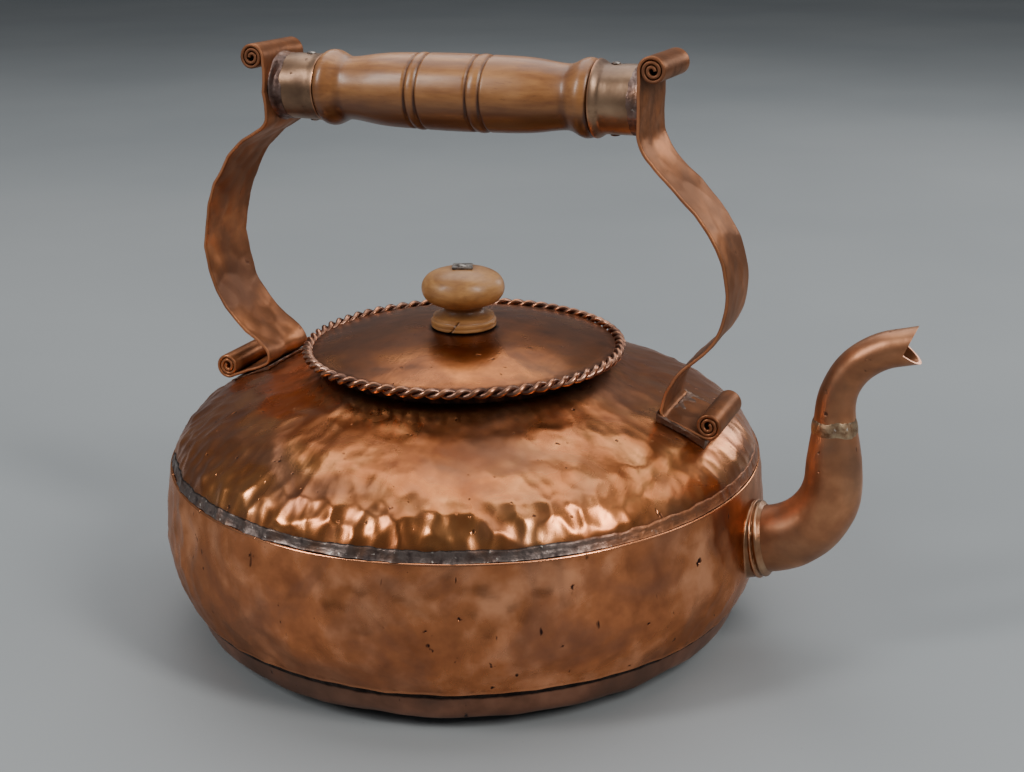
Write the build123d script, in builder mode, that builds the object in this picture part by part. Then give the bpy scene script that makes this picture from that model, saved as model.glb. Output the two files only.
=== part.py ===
"""Hammered copper kettle with a gooseneck spout, a fixed overhead handle and a lift-off lid.

The body is two raised copper shells soldered together at the shoulder, standing on a shallow
pan. Two copper straps with rolled scroll ends carry a turned wooden grip. The lid is a shallow
disc with a twisted wire rim, a sleeve that locates it in the neck, and a turned wooden knob.

Frame: millimetres, +Z up, origin on the floor at the body's centre. The spout points to +X, and
the handle straps, the spout and the grip all lie in the XZ plane.

The parts are drawn with heights measured from the pan's lower edge. The pan's bottom bulges below
that edge, so every finished part is lifted by the bulge to stand on the floor.
"""

from build123d import *
from math import cos, radians, sin
import os

os.makedirs("parts", exist_ok=True)

# ---------------------------------------------------------------- driving dimensions
wall = 1.5  # copper sheet of the body
clearance = 0.05  # between parts that are pushed together
solder_film = 0.02  # between a soldered-on part and its seat
drill_length = 400.0  # longer than anything that is drilled through

# shoulder seam, where the lower bowl's lip stands outside the dome
lip_radius = 150.0
lip_z = 82.8
dome_radius = 147.75  # outside of the dome's skirt at the seam
skirt_bottom_z = 74.0  # how far the dome's skirt reaches down inside the bowl
seam_depth = 4.0  # how far the solder runs down into the shoulder's lap
solder_top_z = lip_z + 6.6  # upper edge of the solder band

# bottom seam and base pan
bowl_foot_radius = 146.7
bowl_foot_z = 15.3
pan_radius = 143.7
pan_edge_radius = 137.0  # where the pan's wall turns under
pan_top_z = 22.0
base_bulge = 4.5  # how far the bottom reaches below the pan's lower edge
stand_radius = 108.0  # flat middle of the bottom, which stands on the floor

# neck
neck_radius = 70.0
neck_join_z = 122.3
shoulder_drop = 11.0  # how far below the neck the dome's slope starts to turn down
neck_top_z = 134.5
neck_flange_radius = 77.0

# lid
lid_radius = 76.4
lid_rim_z = 134.4
lid_rise = 9.6
lid_sheet = 1.2
rope_radius = 79.0
rope_thickness = 5.4
sleeve_radius = 67.5
sleeve_bottom_z = 121.0

# knob, as heights above the floor
knob_foot_radius = 16.4
knob_head_radius = 20.9
knob_bottom_z = lid_rim_z + lid_rise + clearance
knob_top_z = 174.0
pin_radius = 2.0
pin_head_spread = 1.2  # how much wider the riveted heads are than the pin
pin_head_height = 0.9
knob_washer_side = 10.0
knob_washer_turn = 23.0  # how far the washer's sides are turned from the frame's axes
knob_washer_thickness = 1.0
backing_washer_radius = 9.0

# handle
grip_z = 260.2  # height of the grip's axis
strap_inner_x = 95.5  # inner faces of the straps at the grip
strap_thickness = 1.6
strap_width = 39.3
strap_top_z = 275.7  # centre height of the top scrolls
scroll_radius = 5.75  # sheet centreline of a scroll's outer turn
scroll_pitch = 2.0
scroll_half_turns = 5
bend_radius = 4.6  # tight bend between the bow and the foot
bend_heading = -99.1  # degrees, the way the bow runs into that bend
foot_solder_fillet = 2.0  # how far the solder shows beside a strap's foot
foot_solder_lap = 1.5  # how far it reaches in under the bend
foot_solder_length = 23.0
foot_solder_tops = (118.0, 115.0, 107.0)  # heights down the foot, before the strap trims it
foot_solder_bottom_z = 98.0  # inside the dome, which trims it

# ferrules and grip
ferrule_radius = 16.2
ferrule_wall = 0.9
ferrule_mouth_x = 71.5
ferrule_flare_radius = 18.3
ferrule_flare_length = 4.6
bead_radius = 18.5
neck_of_grip_radius = 15.3
grip_radius = 18.4
nail_x = 79.5
nail_radius = 0.9
nail_head_radius = 2.3
nail_head_height = 0.8
nail_length = 7.0

# spout
spout_start = (149.0, 50.5)  # x, z where the spout's centreline leaves the bowl
spout_tilt = 12.0  # degrees above level at the bowl
spout_wall = 1.2
spout_base_radius = 16.2
spout_hole_inside = 12.0  # the bowl's hole is cut from this far inside the bowl
spout_hole_length = 30.0
collar_radius = 18.6
collar_length = 11.2
spout_base_run = 11.5
elbow_radius = 36.4
elbow_end = 92.0  # the riser leans back a little
riser_run = 25.5
crook_lead = 6.3  # straight part of the upper tube above the joint
crook_radius = 33.0
mouth_tilt = 14.0
mouth_run = 12.2
joint_gap = 0.2
beak_depth = 7.4  # how far the notch of the open beak is cut back from the mouth
beak_drop = 3.7  # how far its corner lies below the tube's centreline
beak_upper_angle = 67.0  # degrees above level of the notch's upper edge
beak_lower_angle = -35.0
beak_cut_length = 24.0

# ---------------------------------------------------------------- helpers


def lid_top(r):
    """Height of the lid's upper face at radius r."""
    return lid_rim_z + lid_rise * (1 - (r / lid_radius) ** 2)


def export(part, name):
    part.label = name
    export_step(part, f"parts/{name}.step")
    print(name, round(part.volume, 1), "mm3,", len(part.solids()), "solid(s)")


# outer profiles of the two body shells, as Bezier control points (radius, height)
bowl_curve = [
    (bowl_foot_radius, bowl_foot_z),
    (bowl_foot_radius + 10.8, bowl_foot_z + 31.8),
    (lip_radius + 3.45, lip_z - 38.1),
    (lip_radius, lip_z),
]
dome_curve = [
    (dome_radius, lip_z),
    (dome_radius, lip_z + 2.0),
    (dome_radius, neck_join_z - shoulder_drop),
    (neck_radius, neck_join_z),
]

# ---------------------------------------------------------------- body shells

# solid envelope of bowl and dome, used only to trim what is soldered on to them
with BuildPart() as envelope:
    with BuildSketch(Plane.XZ):
        with BuildLine():
            Bezier(*bowl_curve)
            Line((lip_radius, lip_z), (dome_radius, lip_z))
            Bezier(*dome_curve)
            Polyline(
                (neck_radius, neck_join_z),
                (0, neck_join_z),
                (0, bowl_foot_z),
                (bowl_foot_radius, bowl_foot_z),
            )
        make_face()
    revolve(axis=Axis.Z)

with BuildPart() as body_upper:
    with BuildSketch(Plane.XZ):
        with BuildLine():
            Bezier(*dome_curve)
            Line((neck_radius, neck_join_z), (neck_radius, neck_join_z - wall))
            Bezier(
                (neck_radius, neck_join_z - wall),
                (dome_radius - wall, neck_join_z - shoulder_drop - wall),
                (dome_radius - wall, lip_z + 2.0),
                (dome_radius - wall, lip_z),
            )
            Polyline(
                (dome_radius - wall, lip_z),
                (dome_radius - wall, skirt_bottom_z),
                (dome_radius, skirt_bottom_z),
                (dome_radius, lip_z),
            )
        make_face()
    revolve(axis=Axis.Z)

spout_direction = (cos(radians(spout_tilt)), sin(radians(spout_tilt)))
spout_base_plane = Plane(
    origin=(spout_start[0], 0, spout_start[1]),
    x_dir=(0, 1, 0),
    z_dir=(spout_direction[0], 0, spout_direction[1]),
)
with BuildPart() as body_lower:
    with BuildSketch(Plane.XZ):
        with BuildLine():
            Bezier(*bowl_curve)
            Line((lip_radius, lip_z), (lip_radius - wall, lip_z))
            Bezier(*[(r - wall, z) for r, z in bowl_curve[::-1]])
            Line((bowl_foot_radius - wall, bowl_foot_z), (bowl_foot_radius, bowl_foot_z))
        make_face()
    revolve(axis=Axis.Z)
    with BuildSketch(spout_base_plane.offset(-spout_hole_inside)):
        Circle(spout_base_radius + 2 * clearance)
    extrude(amount=spout_hole_length, mode=Mode.SUBTRACT)

with BuildPart() as base_pan:
    with BuildSketch(Plane.XZ):
        with BuildLine():
            Polyline(
                (0, wall - base_bulge),
                (0, -base_bulge),
                (stand_radius, -base_bulge),
            )
            Bezier(
                (stand_radius, -base_bulge),
                (stand_radius + 10.0, -base_bulge),
                (pan_edge_radius - 6.5, -1.75),
                (pan_edge_radius, 0.2),
            )
            Bezier(
                (pan_edge_radius, 0.2),
                (pan_edge_radius + 4.2, 1.5),
                (pan_radius - 1.5, bowl_foot_z - 6.1),
                (pan_radius, bowl_foot_z),
            )
            Polyline(
                (pan_radius, bowl_foot_z),
                (pan_radius, pan_top_z),
                (pan_radius - wall, pan_top_z),
                (pan_radius - wall, bowl_foot_z),
            )
            Bezier(
                (pan_radius - wall, bowl_foot_z),
                (pan_radius - 1.5 - wall, bowl_foot_z - 6.1),
                (pan_edge_radius + 3.4, 2.9),
                (pan_edge_radius - 0.5, wall + 0.2),
            )
            Bezier(
                (pan_edge_radius - 0.5, wall + 0.2),
                (pan_edge_radius - 7.0, wall - 1.75),
                (stand_radius + 10.0, wall - base_bulge),
                (stand_radius, wall - base_bulge),
            )
            Line((stand_radius, wall - base_bulge), (0, wall - base_bulge))
        make_face()
    revolve(axis=Axis.Z)

# solder that fills the lap between pan and bowl
with BuildPart() as base_seam_solder:
    with BuildSketch(Plane.XZ):
        with BuildLine():
            Polyline(
                (pan_radius + solder_film, bowl_foot_z + 0.6),
                (bowl_foot_radius - wall, bowl_foot_z + 0.6),
                (bowl_foot_radius - wall + 1.6, pan_top_z - 0.8),
                (pan_radius + solder_film, pan_top_z - 0.2),
                close=True,
            )
        make_face()
    revolve(axis=Axis.Z)

# solder band that fills the shoulder lap and runs up on to the dome
with BuildPart() as shoulder_solder:
    with BuildSketch(Plane.XZ):
        with BuildLine():
            Polyline(
                (dome_radius + solder_film, solder_top_z - 2.6),
                (dome_radius + solder_film, lip_z - seam_depth),
                (lip_radius - wall, lip_z - seam_depth),
                (lip_radius - wall, lip_z + clearance),
                (lip_radius - 0.5, lip_z + clearance),
            )
            ThreePointArc(
                (lip_radius - 0.5, lip_z + clearance),
                (dome_radius + 0.75, lip_z + 3.2),
                (dome_radius - 0.9, solder_top_z),
            )
            Line((dome_radius - 0.9, solder_top_z), (dome_radius + solder_film, solder_top_z - 2.6))
        make_face()
    revolve(axis=Axis.Z)
    add(envelope.part, mode=Mode.SUBTRACT)
    with BuildSketch(Plane.XY.offset(lip_z - seam_depth)):
        Circle(lip_radius - wall)
        Circle(dome_radius + solder_film, mode=Mode.SUBTRACT)
    extrude(amount=seam_depth + clearance)

# upright neck sleeve with a flange turned out under the dome's opening
with BuildPart() as neck_ring:
    with BuildSketch(Plane.XZ):
        with BuildLine():
            flange_z = neck_join_z - wall - 1.9
            Polyline(
                (neck_radius - solder_film, neck_top_z),
                (neck_radius - solder_film, flange_z + 0.9),
                (neck_flange_radius, flange_z),
                (neck_flange_radius, flange_z - wall),
                (neck_radius - wall, flange_z - wall),
                (neck_radius - wall, neck_top_z),
                close=True,
            )
        make_face()
    revolve(axis=Axis.Z)

# ---------------------------------------------------------------- spout

with BuildLine(Plane.XZ) as lower_route:
    base_run = Line(
        spout_start,
        (
            spout_start[0] + spout_base_run * spout_direction[0],
            spout_start[1] + spout_base_run * spout_direction[1],
        ),
    )
    elbow = JernArc(
        (
            spout_start[0] + spout_base_run * spout_direction[0],
            spout_start[1] + spout_base_run * spout_direction[1],
        ),
        spout_direction,
        elbow_radius,
        elbow_end - spout_tilt,
    )

elbow_exit = elbow @ 1
riser_direction = (cos(radians(elbow_end)), sin(radians(elbow_end)))
joint_x = elbow_exit.X + riser_run * riser_direction[0]
joint_z = elbow_exit.Z + riser_run * riser_direction[1]

with BuildLine(Plane.XZ) as upper_route:
    crook_x = joint_x + crook_lead * riser_direction[0]
    crook_z = joint_z + crook_lead * riser_direction[1]
    upper_start = Line((joint_x, joint_z), (crook_x, crook_z))
    crook = JernArc((crook_x, crook_z), riser_direction, crook_radius, mouth_tilt - elbow_end)

mouth_direction = (cos(radians(mouth_tilt)), sin(radians(mouth_tilt)))
mouth_start = crook @ 1
mouth_end = (
    mouth_start.X + mouth_run * mouth_direction[0],
    mouth_start.Z + mouth_run * mouth_direction[1],
)


def section_plane(point, direction):
    """Plane square to the spout's centreline, with its x axis along Y."""
    return Plane(origin=(point[0], 0, point[1]), x_dir=(0, 1, 0), z_dir=(direction[0], 0, direction[1]))


def route_plane(edge, fraction):
    """Section plane at a fraction of one piece of the centreline."""
    point = edge @ fraction
    tangent = edge % fraction
    return section_plane((point.X, point.Z), (tangent.X, tangent.Z))


def riser_plane(run):
    """Section plane on the straight riser, a run above the elbow."""
    x = elbow_exit.X + run * riser_direction[0]
    z = elbow_exit.Z + run * riser_direction[1]
    return section_plane((x, z), riser_direction)


# sections of the two spout halves: a plane and the outside radius of the tube there
lower_sections = [
    (route_plane(base_run, 0.0), spout_base_radius),
    (route_plane(base_run, 0.5), spout_base_radius),
    (route_plane(base_run, 1.0), spout_base_radius),
    (route_plane(elbow, 0.2), 16.0),
    (route_plane(elbow, 0.4), 15.6),
    (route_plane(elbow, 0.6), 15.0),
    (route_plane(elbow, 0.8), 14.2),
    (route_plane(elbow, 1.0), 13.4),
    (riser_plane(9.0), 12.6),
    (riser_plane(18.0), 11.4),
    (riser_plane(riser_run - joint_gap), 10.0),
]
upper_sections = [
    (riser_plane(riser_run), 9.8),
    (route_plane(crook, 0.0), 9.3),
    (route_plane(crook, 0.25), 8.8),
    (route_plane(crook, 0.5), 8.6),
    (route_plane(crook, 0.75), 8.6),
    (route_plane(crook, 1.0), 8.6),
    (section_plane(mouth_end, mouth_direction), 8.6),
]
# solder over the joint: a plane, the radius it leaves for the tube, and its own outside radius
joint_sections = [
    (riser_plane(riser_run - 3.4), 10.9, 11.3),
    (riser_plane(riser_run), 10.1, 10.7),
    (riser_plane(riser_run + 3.0), 9.65, 10.0),
]

with BuildPart() as spout_lower:
    for plane, radius in lower_sections:
        with BuildSketch(plane):
            Circle(radius)
    loft()
    for plane, radius in lower_sections:
        with BuildSketch(plane):
            Circle(radius - spout_wall)
    loft(mode=Mode.SUBTRACT)

beak_corner = (mouth_end[0] - beak_depth, mouth_end[1] - beak_drop)
with BuildPart() as spout_upper:
    for plane, radius in upper_sections:
        with BuildSketch(plane):
            Circle(radius)
    loft()
    for plane, radius in upper_sections:
        with BuildSketch(plane):
            Circle(radius - spout_wall)
    loft(mode=Mode.SUBTRACT)
    with BuildSketch(Plane.XZ):
        with BuildLine():
            upper_edge = PolarLine(beak_corner, beak_cut_length, beak_upper_angle)
            lower_edge = PolarLine(beak_corner, beak_cut_length, beak_lower_angle)
            Line(upper_edge @ 1, lower_edge @ 1)
        make_face()
    extrude(amount=2 * spout_base_radius, both=True, mode=Mode.SUBTRACT)

with BuildPart() as spout_joint_solder:
    for plane, tube_radius, solder_radius in joint_sections:
        with BuildSketch(plane):
            Circle(solder_radius)
    loft()
    for plane, tube_radius, solder_radius in joint_sections:
        with BuildSketch(plane):
            Circle(tube_radius)
    loft(mode=Mode.SUBTRACT)
    add(spout_lower.part, mode=Mode.SUBTRACT)

# collar: a sleeve with two raised beads that backs the spout on to the bowl
collar_start = -6.0  # inside the bowl's face, where the bowl trims it
collar_bore = spout_base_radius + 2 * clearance
bead_ends = [(4.6, collar_radius), (7.0, collar_radius - 0.6), (10.6, collar_radius - 1.3)]
with BuildPart() as spout_collar:
    collar_plane = Plane(
        origin=spout_base_plane.origin, x_dir=spout_base_plane.z_dir, z_dir=(0, -1, 0)
    )
    with BuildSketch(collar_plane):
        with BuildLine():
            Polyline((collar_start, collar_bore), (collar_start, collar_radius), bead_ends[0])
            ThreePointArc(bead_ends[0], (5.9, collar_radius + 0.6), bead_ends[1])
            ThreePointArc(bead_ends[1], (9.0, collar_radius - 0.1), bead_ends[2])
            Polyline(
                bead_ends[2], (collar_length, collar_bore), (collar_start, collar_bore)
            )
        make_face()
    revolve(axis=Axis(spout_base_plane.origin, spout_base_plane.z_dir))
    add(envelope.part, mode=Mode.SUBTRACT)

# ---------------------------------------------------------------- handle straps


def scroll(last, turn_angle):
    """Roll the sheet up at the end of the line called last, in half turns of falling radius."""
    for half_turn in range(scroll_half_turns):
        radius = scroll_radius - half_turn * scroll_pitch / 2
        last = JernArc(last @ 1, last % 1, radius, turn_angle)


def handle_strap(side, bow, foot_slope, foot_length):
    """One strap, at the +X end of the grip (side 1) or at the -X end (side -1).

    bow lists the points (distance from the centre, height) that the strap passes between its
    upright top and the tight bend above its foot. The foot runs down the dome's shoulder.
    """
    upright_x, knee_z = bow[0]
    with BuildPart() as strap:
        with BuildSketch(Plane.XZ):
            with BuildLine():
                upright = Line((side * upright_x, knee_z), (side * upright_x, strap_top_z))
                scroll(upright, -side * 180)
                curve = Spline(
                    *[(side * x, z) for x, z in bow],
                    tangents=[
                        (0, -1),
                        (side * cos(radians(bend_heading)), sin(radians(bend_heading))),
                    ],
                )
                bend = JernArc(
                    curve @ 1, curve % 1, bend_radius, side * (foot_slope - bend_heading)
                )
                foot = PolarLine(bend @ 1, foot_length, direction=bend % 1)
                scroll(foot, side * 180)
            trace(line_width=strap_thickness)
        extrude(amount=strap_width / 2, both=True)
    return strap.part


front_bow = [
    (strap_inner_x + strap_thickness / 2, 248),
    (105.0, 231.8),
    (124.5, 212.5),
    (137.2, 190.0),
    (139.3, 172.0),
    (134.0, 154.5),
    (117.0, 136.5),
    (109.5, 119.2),
]
rear_bow = [
    (strap_inner_x + strap_thickness / 2, 247),
    (108.0, 236.0),
    (124.5, 219.5),
    (134.5, 197.0),
    (137.6, 174.0),
    (130.5, 150.0),
    (113.5, 131.8),
    (104.2, 121.7),
]
strap_front = handle_strap(1, front_bow, -20.5, 19.4)
strap_rear = handle_strap(-1, rear_bow, -23.0, 22.4)


def foot_solder(side, strap, bend_x):
    """Wedge of solder between a strap's foot and the dome, with a fillet along both edges."""
    with BuildPart() as wedge:
        with BuildSketch(Plane.XZ):
            with BuildLine():
                Polyline(
                    (side * (bend_x - foot_solder_lap), foot_solder_tops[0]),
                    (side * (bend_x + 4.0), foot_solder_tops[1]),
                    (side * (bend_x + foot_solder_length), foot_solder_tops[2]),
                    (side * (bend_x + foot_solder_length), foot_solder_bottom_z),
                    (side * (bend_x - foot_solder_lap), foot_solder_bottom_z),
                    close=True,
                )
            make_face()
        extrude(amount=strap_width / 2 + foot_solder_fillet, both=True)
        add(envelope.part, mode=Mode.SUBTRACT)
        add(strap, mode=Mode.SUBTRACT)
    return wedge.part


# ---------------------------------------------------------------- ferrules and grip

grip_plane = Plane(origin=(0, 0, grip_z), x_dir=(1, 0, 0), z_dir=(0, -1, 0))
grip_axis = Axis((0, 0, grip_z), (1, 0, 0))
ferrule_bore = ferrule_radius - ferrule_wall


def ferrule(side, flare_radius):
    """Copper tube over one end of the grip; its mouth may flare over the grip's bead."""
    with BuildPart() as tube:
        with BuildSketch(grip_plane):
            with BuildLine():
                mouth = ferrule_mouth_x
                settle = ferrule_mouth_x + ferrule_flare_length
                Polyline(
                    (side * settle, ferrule_radius),
                    (side * strap_inner_x, ferrule_radius),
                    (side * strap_inner_x, ferrule_bore),
                    (side * settle, ferrule_bore),
                )
                Bezier(
                    (side * settle, ferrule_bore),
                    (side * (settle - 1.5), ferrule_bore),
                    (side * (mouth + 1.5), flare_radius - ferrule_wall),
                    (side * mouth, flare_radius - ferrule_wall),
                )
                Line((side * mouth, flare_radius - ferrule_wall), (side * mouth, flare_radius))
                Bezier(
                    (side * mouth, flare_radius),
                    (side * (mouth + 1.5), flare_radius),
                    (side * (settle - 1.5), ferrule_radius),
                    (side * settle, ferrule_radius),
                )
            make_face()
        revolve(axis=grip_axis)
        with Locations((side * nail_x, 0, grip_z)):
            Cylinder(nail_radius, drill_length, mode=Mode.SUBTRACT)
    return tube.part


def ferrule_solder(side):
    """Fillet of solder around a ferrule where it butts on the strap."""
    with BuildPart() as ring:
        with BuildSketch(grip_plane):
            with BuildLine():
                Polyline(
                    (side * strap_inner_x, ferrule_radius),
                    (side * (strap_inner_x - 6.0), ferrule_radius),
                    (side * (strap_inner_x - 5.0), ferrule_radius + 0.25),
                    (side * (strap_inner_x - 2.2), ferrule_radius + 0.6),
                    (side * strap_inner_x, ferrule_radius + 2.4),
                    close=True,
                )
            make_face()
        revolve(axis=grip_axis)
    return ring.part


bead_inner_x = 60.6
shoulder_x = ferrule_mouth_x - 0.1
grip_neck_x = 57.0
tenon_end_x = strap_inner_x - 3.0
tenon_radius = ferrule_bore - clearance
groove_xs = [-20.8, -15.4, 11.0, 17.7]
groove_depth = 0.8

with BuildPart() as grip:
    with BuildSketch(grip_plane):
        with BuildLine():
            Polyline((tenon_end_x, 0), (tenon_end_x, tenon_radius), (shoulder_x, tenon_radius))
            Spline(
                (shoulder_x, tenon_radius),
                (shoulder_x - 0.9, tenon_radius + 1.9),
                (66.2, bead_radius),
                (bead_inner_x, neck_of_grip_radius + 0.9),
                (grip_neck_x, neck_of_grip_radius),
                tangents=[(-0.2, 1), (-1, 0)],
            )
            Spline(
                (grip_neck_x, neck_of_grip_radius),
                (44.0, 16.8),
                (22.0, grip_radius - 0.3),
                (0, grip_radius),
                (-22.0, grip_radius - 0.3),
                (-44.0, 16.9),
                (-grip_neck_x, neck_of_grip_radius),
                tangents=[(-1, 0), (-1, 0)],
            )
            Spline(
                (-grip_neck_x, neck_of_grip_radius),
                (-bead_inner_x, neck_of_grip_radius + 0.9),
                (-66.2, bead_radius),
                (0.9 - shoulder_x, tenon_radius + 1.9),
                (-shoulder_x, tenon_radius),
                tangents=[(-1, 0), (-0.2, -1)],
            )
            Polyline((-shoulder_x, tenon_radius), (-tenon_end_x, tenon_radius), (-tenon_end_x, 0))
            Line((-tenon_end_x, 0), (tenon_end_x, 0))
        make_face()
    revolve(axis=grip_axis)
    for groove_x in groove_xs:
        with BuildSketch(grip_plane):
            with Locations((groove_x, grip_radius + 0.3)):
                Circle(groove_depth + 0.3)
        revolve(axis=grip_axis, mode=Mode.SUBTRACT)
    with Locations((nail_x, 0, grip_z), (-nail_x, 0, grip_z)):
        Cylinder(nail_radius, drill_length, mode=Mode.SUBTRACT)

# two nails through each ferrule, above and below
with BuildPart() as ferrule_nails:
    for side in (1, -1):
        for way in (1, -1):
            head_plane = Plane(
                origin=(side * nail_x, 0, grip_z + way * (ferrule_radius + solder_film)),
                x_dir=(1, 0, 0),
                z_dir=(0, 0, way),
            )
            with BuildSketch(head_plane):
                Circle(nail_head_radius)
            extrude(amount=nail_head_height, taper=25)
            with BuildSketch(head_plane):
                Circle(nail_radius - solder_film)
            extrude(amount=-nail_length)

# ---------------------------------------------------------------- lid

with BuildPart() as lid_disc:
    with BuildSketch(Plane.XZ):
        with BuildLine():
            rim_top = (lid_radius, lid_top(lid_radius))
            half_top = (lid_radius / 2, lid_top(lid_radius / 2))
            centre_top = (0, lid_top(0))
            ThreePointArc(rim_top, half_top, centre_top)
            Line(centre_top, (0, centre_top[1] - lid_sheet))
            ThreePointArc(
                (0, centre_top[1] - lid_sheet),
                (half_top[0], half_top[1] - lid_sheet),
                (lid_radius, rim_top[1] - lid_sheet),
            )
            Line((lid_radius, rim_top[1] - lid_sheet), rim_top)
        make_face()
    revolve(axis=Axis.Z)
    Cylinder(pin_radius + clearance, drill_length, mode=Mode.SUBTRACT)

with BuildPart() as lid_rope:
    with BuildSketch(Plane.XZ):
        with Locations((rope_radius, lid_rim_z)):
            Circle(rope_thickness / 2)
    revolve(axis=Axis.Z)
    add(lid_disc.part, mode=Mode.SUBTRACT)

with BuildPart() as lid_sleeve:
    with BuildSketch(Plane.XZ):
        with BuildLine():
            Polyline(
                (sleeve_radius, sleeve_bottom_z),
                (sleeve_radius, lid_top(sleeve_radius) - lid_sheet - clearance),
                (
                    sleeve_radius - lid_sheet,
                    lid_top(sleeve_radius - lid_sheet) - lid_sheet - clearance,
                ),
                (sleeve_radius - lid_sheet, sleeve_bottom_z),
                close=True,
            )
        make_face()
    revolve(axis=Axis.Z)

with BuildPart() as knob:
    with BuildSketch(Plane.XZ):
        with BuildLine():
            Polyline(
                (0, knob_top_z),
                (0, knob_bottom_z),
                (knob_foot_radius - 0.6, knob_bottom_z),
                (knob_foot_radius, knob_bottom_z + 0.6),
                (knob_foot_radius, knob_bottom_z + 3.6),
                (knob_foot_radius - 0.9, knob_bottom_z + 4.6),
                (knob_foot_radius - 1.1, knob_bottom_z + 6.0),
            )
            Spline(
                (knob_foot_radius - 1.1, knob_bottom_z + 6.0),
                (11.2, knob_bottom_z + 7.2),
                (9.8, knob_bottom_z + 9.0),
                (12.6, knob_bottom_z + 11.4),
                (17.8, knob_bottom_z + 13.8),
                (20.2, knob_bottom_z + 16.8),
                (knob_head_radius, knob_bottom_z + 20.3),
                (19.0, knob_bottom_z + 25.0),
                (13.0, knob_top_z - 1.6),
                (knob_washer_side / 2, knob_top_z),
                tangents=[(-1, 0.35), (-1, 0.12)],
            )
            Line((knob_washer_side / 2, knob_top_z), (0, knob_top_z))
        make_face()
    revolve(axis=Axis.Z)
    Cylinder(pin_radius + clearance, drill_length, mode=Mode.SUBTRACT)

with BuildPart() as knob_washer:
    with BuildSketch(Plane.XY.offset(knob_top_z + solder_film)):
        Rectangle(knob_washer_side, knob_washer_side, rotation=knob_washer_turn)
    extrude(amount=knob_washer_thickness)
    chamfer(knob_washer.faces().sort_by(Axis.Z)[-1].edges(), 0.3)
    Cylinder(pin_radius + clearance, drill_length, mode=Mode.SUBTRACT)

backing_top_z = lid_top(backing_washer_radius) - lid_sheet - clearance
with BuildPart() as backing_washer:
    with BuildSketch(Plane.XY.offset(backing_top_z)):
        Circle(backing_washer_radius)
        Circle(pin_radius + clearance, mode=Mode.SUBTRACT)
    extrude(amount=-lid_sheet)

pin_top_z = knob_top_z + solder_film + knob_washer_thickness
with BuildPart() as knob_pin:
    pin_bottom_z = backing_top_z - lid_sheet
    with BuildSketch(Plane.XY.offset(pin_bottom_z)):
        Circle(pin_radius)
    extrude(amount=pin_top_z - pin_bottom_z)
    with BuildSketch(Plane.XY.offset(pin_top_z)):
        Circle(pin_radius + pin_head_spread)
    extrude(amount=pin_head_height, taper=30)
    with BuildSketch(Plane.XY.offset(pin_bottom_z)):
        Circle(pin_radius + pin_head_spread)
    extrude(amount=-pin_head_height, taper=30)

# ---------------------------------------------------------------- export

pieces = {
    "body_upper": body_upper.part,
    "body_lower": body_lower.part,
    "base_pan": base_pan.part,
    "base_seam_solder": base_seam_solder.part,
    "shoulder_solder": shoulder_solder.part,
    "neck_ring": neck_ring.part,
    "spout_lower": spout_lower.part,
    "spout_upper": spout_upper.part,
    "spout_joint_solder": spout_joint_solder.part,
    "spout_collar": spout_collar.part,
    "strap_front": strap_front,
    "strap_rear": strap_rear,
    "foot_solder_front": foot_solder(1, strap_front, front_bow[-1][0]),
    "foot_solder_rear": foot_solder(-1, strap_rear, rear_bow[-1][0]),
    "ferrule_front": ferrule(1, ferrule_flare_radius),
    "ferrule_rear": ferrule(-1, ferrule_radius + 0.4),
    "ferrule_solder_front": ferrule_solder(1),
    "ferrule_solder_rear": ferrule_solder(-1),
    "grip": grip.part,
    "ferrule_nails": ferrule_nails.part,
    "lid_disc": lid_disc.part,
    "lid_rope": lid_rope.part,
    "lid_sleeve": lid_sleeve.part,
    "knob": knob.part,
    "knob_washer": knob_washer.part,
    "knob_pin": knob_pin.part,
    "backing_washer": backing_washer.part,
}
for name, part in pieces.items():
    export(Pos(0, 0, base_bulge) * part, name)
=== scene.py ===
"""Looks of the hammered copper kettle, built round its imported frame.

The mesh code works in millimetres, in the frame's axes: Z up, the spout towards +X, the origin
under the body's centre. Its heights are measured from the pan's lower edge. The pan's bottom
bulges below that edge, so in_frame() lifts finished meshes by the bulge, and turns them to metres.
"""

import math

import bmesh
import bpy
import numpy as np
from mathutils import Matrix, Vector


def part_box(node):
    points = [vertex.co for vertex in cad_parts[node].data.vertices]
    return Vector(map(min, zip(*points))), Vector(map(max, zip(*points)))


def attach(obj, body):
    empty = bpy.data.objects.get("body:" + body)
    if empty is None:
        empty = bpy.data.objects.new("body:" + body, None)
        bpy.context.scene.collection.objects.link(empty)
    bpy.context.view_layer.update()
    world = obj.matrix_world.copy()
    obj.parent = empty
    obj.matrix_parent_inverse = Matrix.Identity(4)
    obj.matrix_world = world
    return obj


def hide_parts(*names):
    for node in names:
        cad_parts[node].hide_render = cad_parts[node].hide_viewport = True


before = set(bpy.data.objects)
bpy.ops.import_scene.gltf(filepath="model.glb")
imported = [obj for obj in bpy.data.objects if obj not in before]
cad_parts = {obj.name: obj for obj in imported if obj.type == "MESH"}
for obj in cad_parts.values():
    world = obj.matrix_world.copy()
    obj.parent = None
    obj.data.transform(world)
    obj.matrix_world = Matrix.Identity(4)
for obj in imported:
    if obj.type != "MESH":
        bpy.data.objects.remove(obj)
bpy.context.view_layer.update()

MM = 0.001
TAU = 2 * math.pi

bowl_foot_z = 15.3
base_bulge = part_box("body_lower")[0][2] / MM - bowl_foot_z
foot_line_z = bowl_foot_z + 3.0  # the hammered bowl's foot has drawn up a little
lift = np.array([0, 0, base_bulge])


def node_box(name):
    """Lowest and highest corner of a CAD node at rest, in millimetres from the pan's edge."""
    low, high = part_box(name)
    return np.array(low) / MM - lift, np.array(high) / MM - lift


def in_frame(points):
    """Frame coordinates, in metres, of points given in millimetres from the pan's edge."""
    return (np.asarray(points, float).reshape(-1, 3) + lift) * MM


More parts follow.
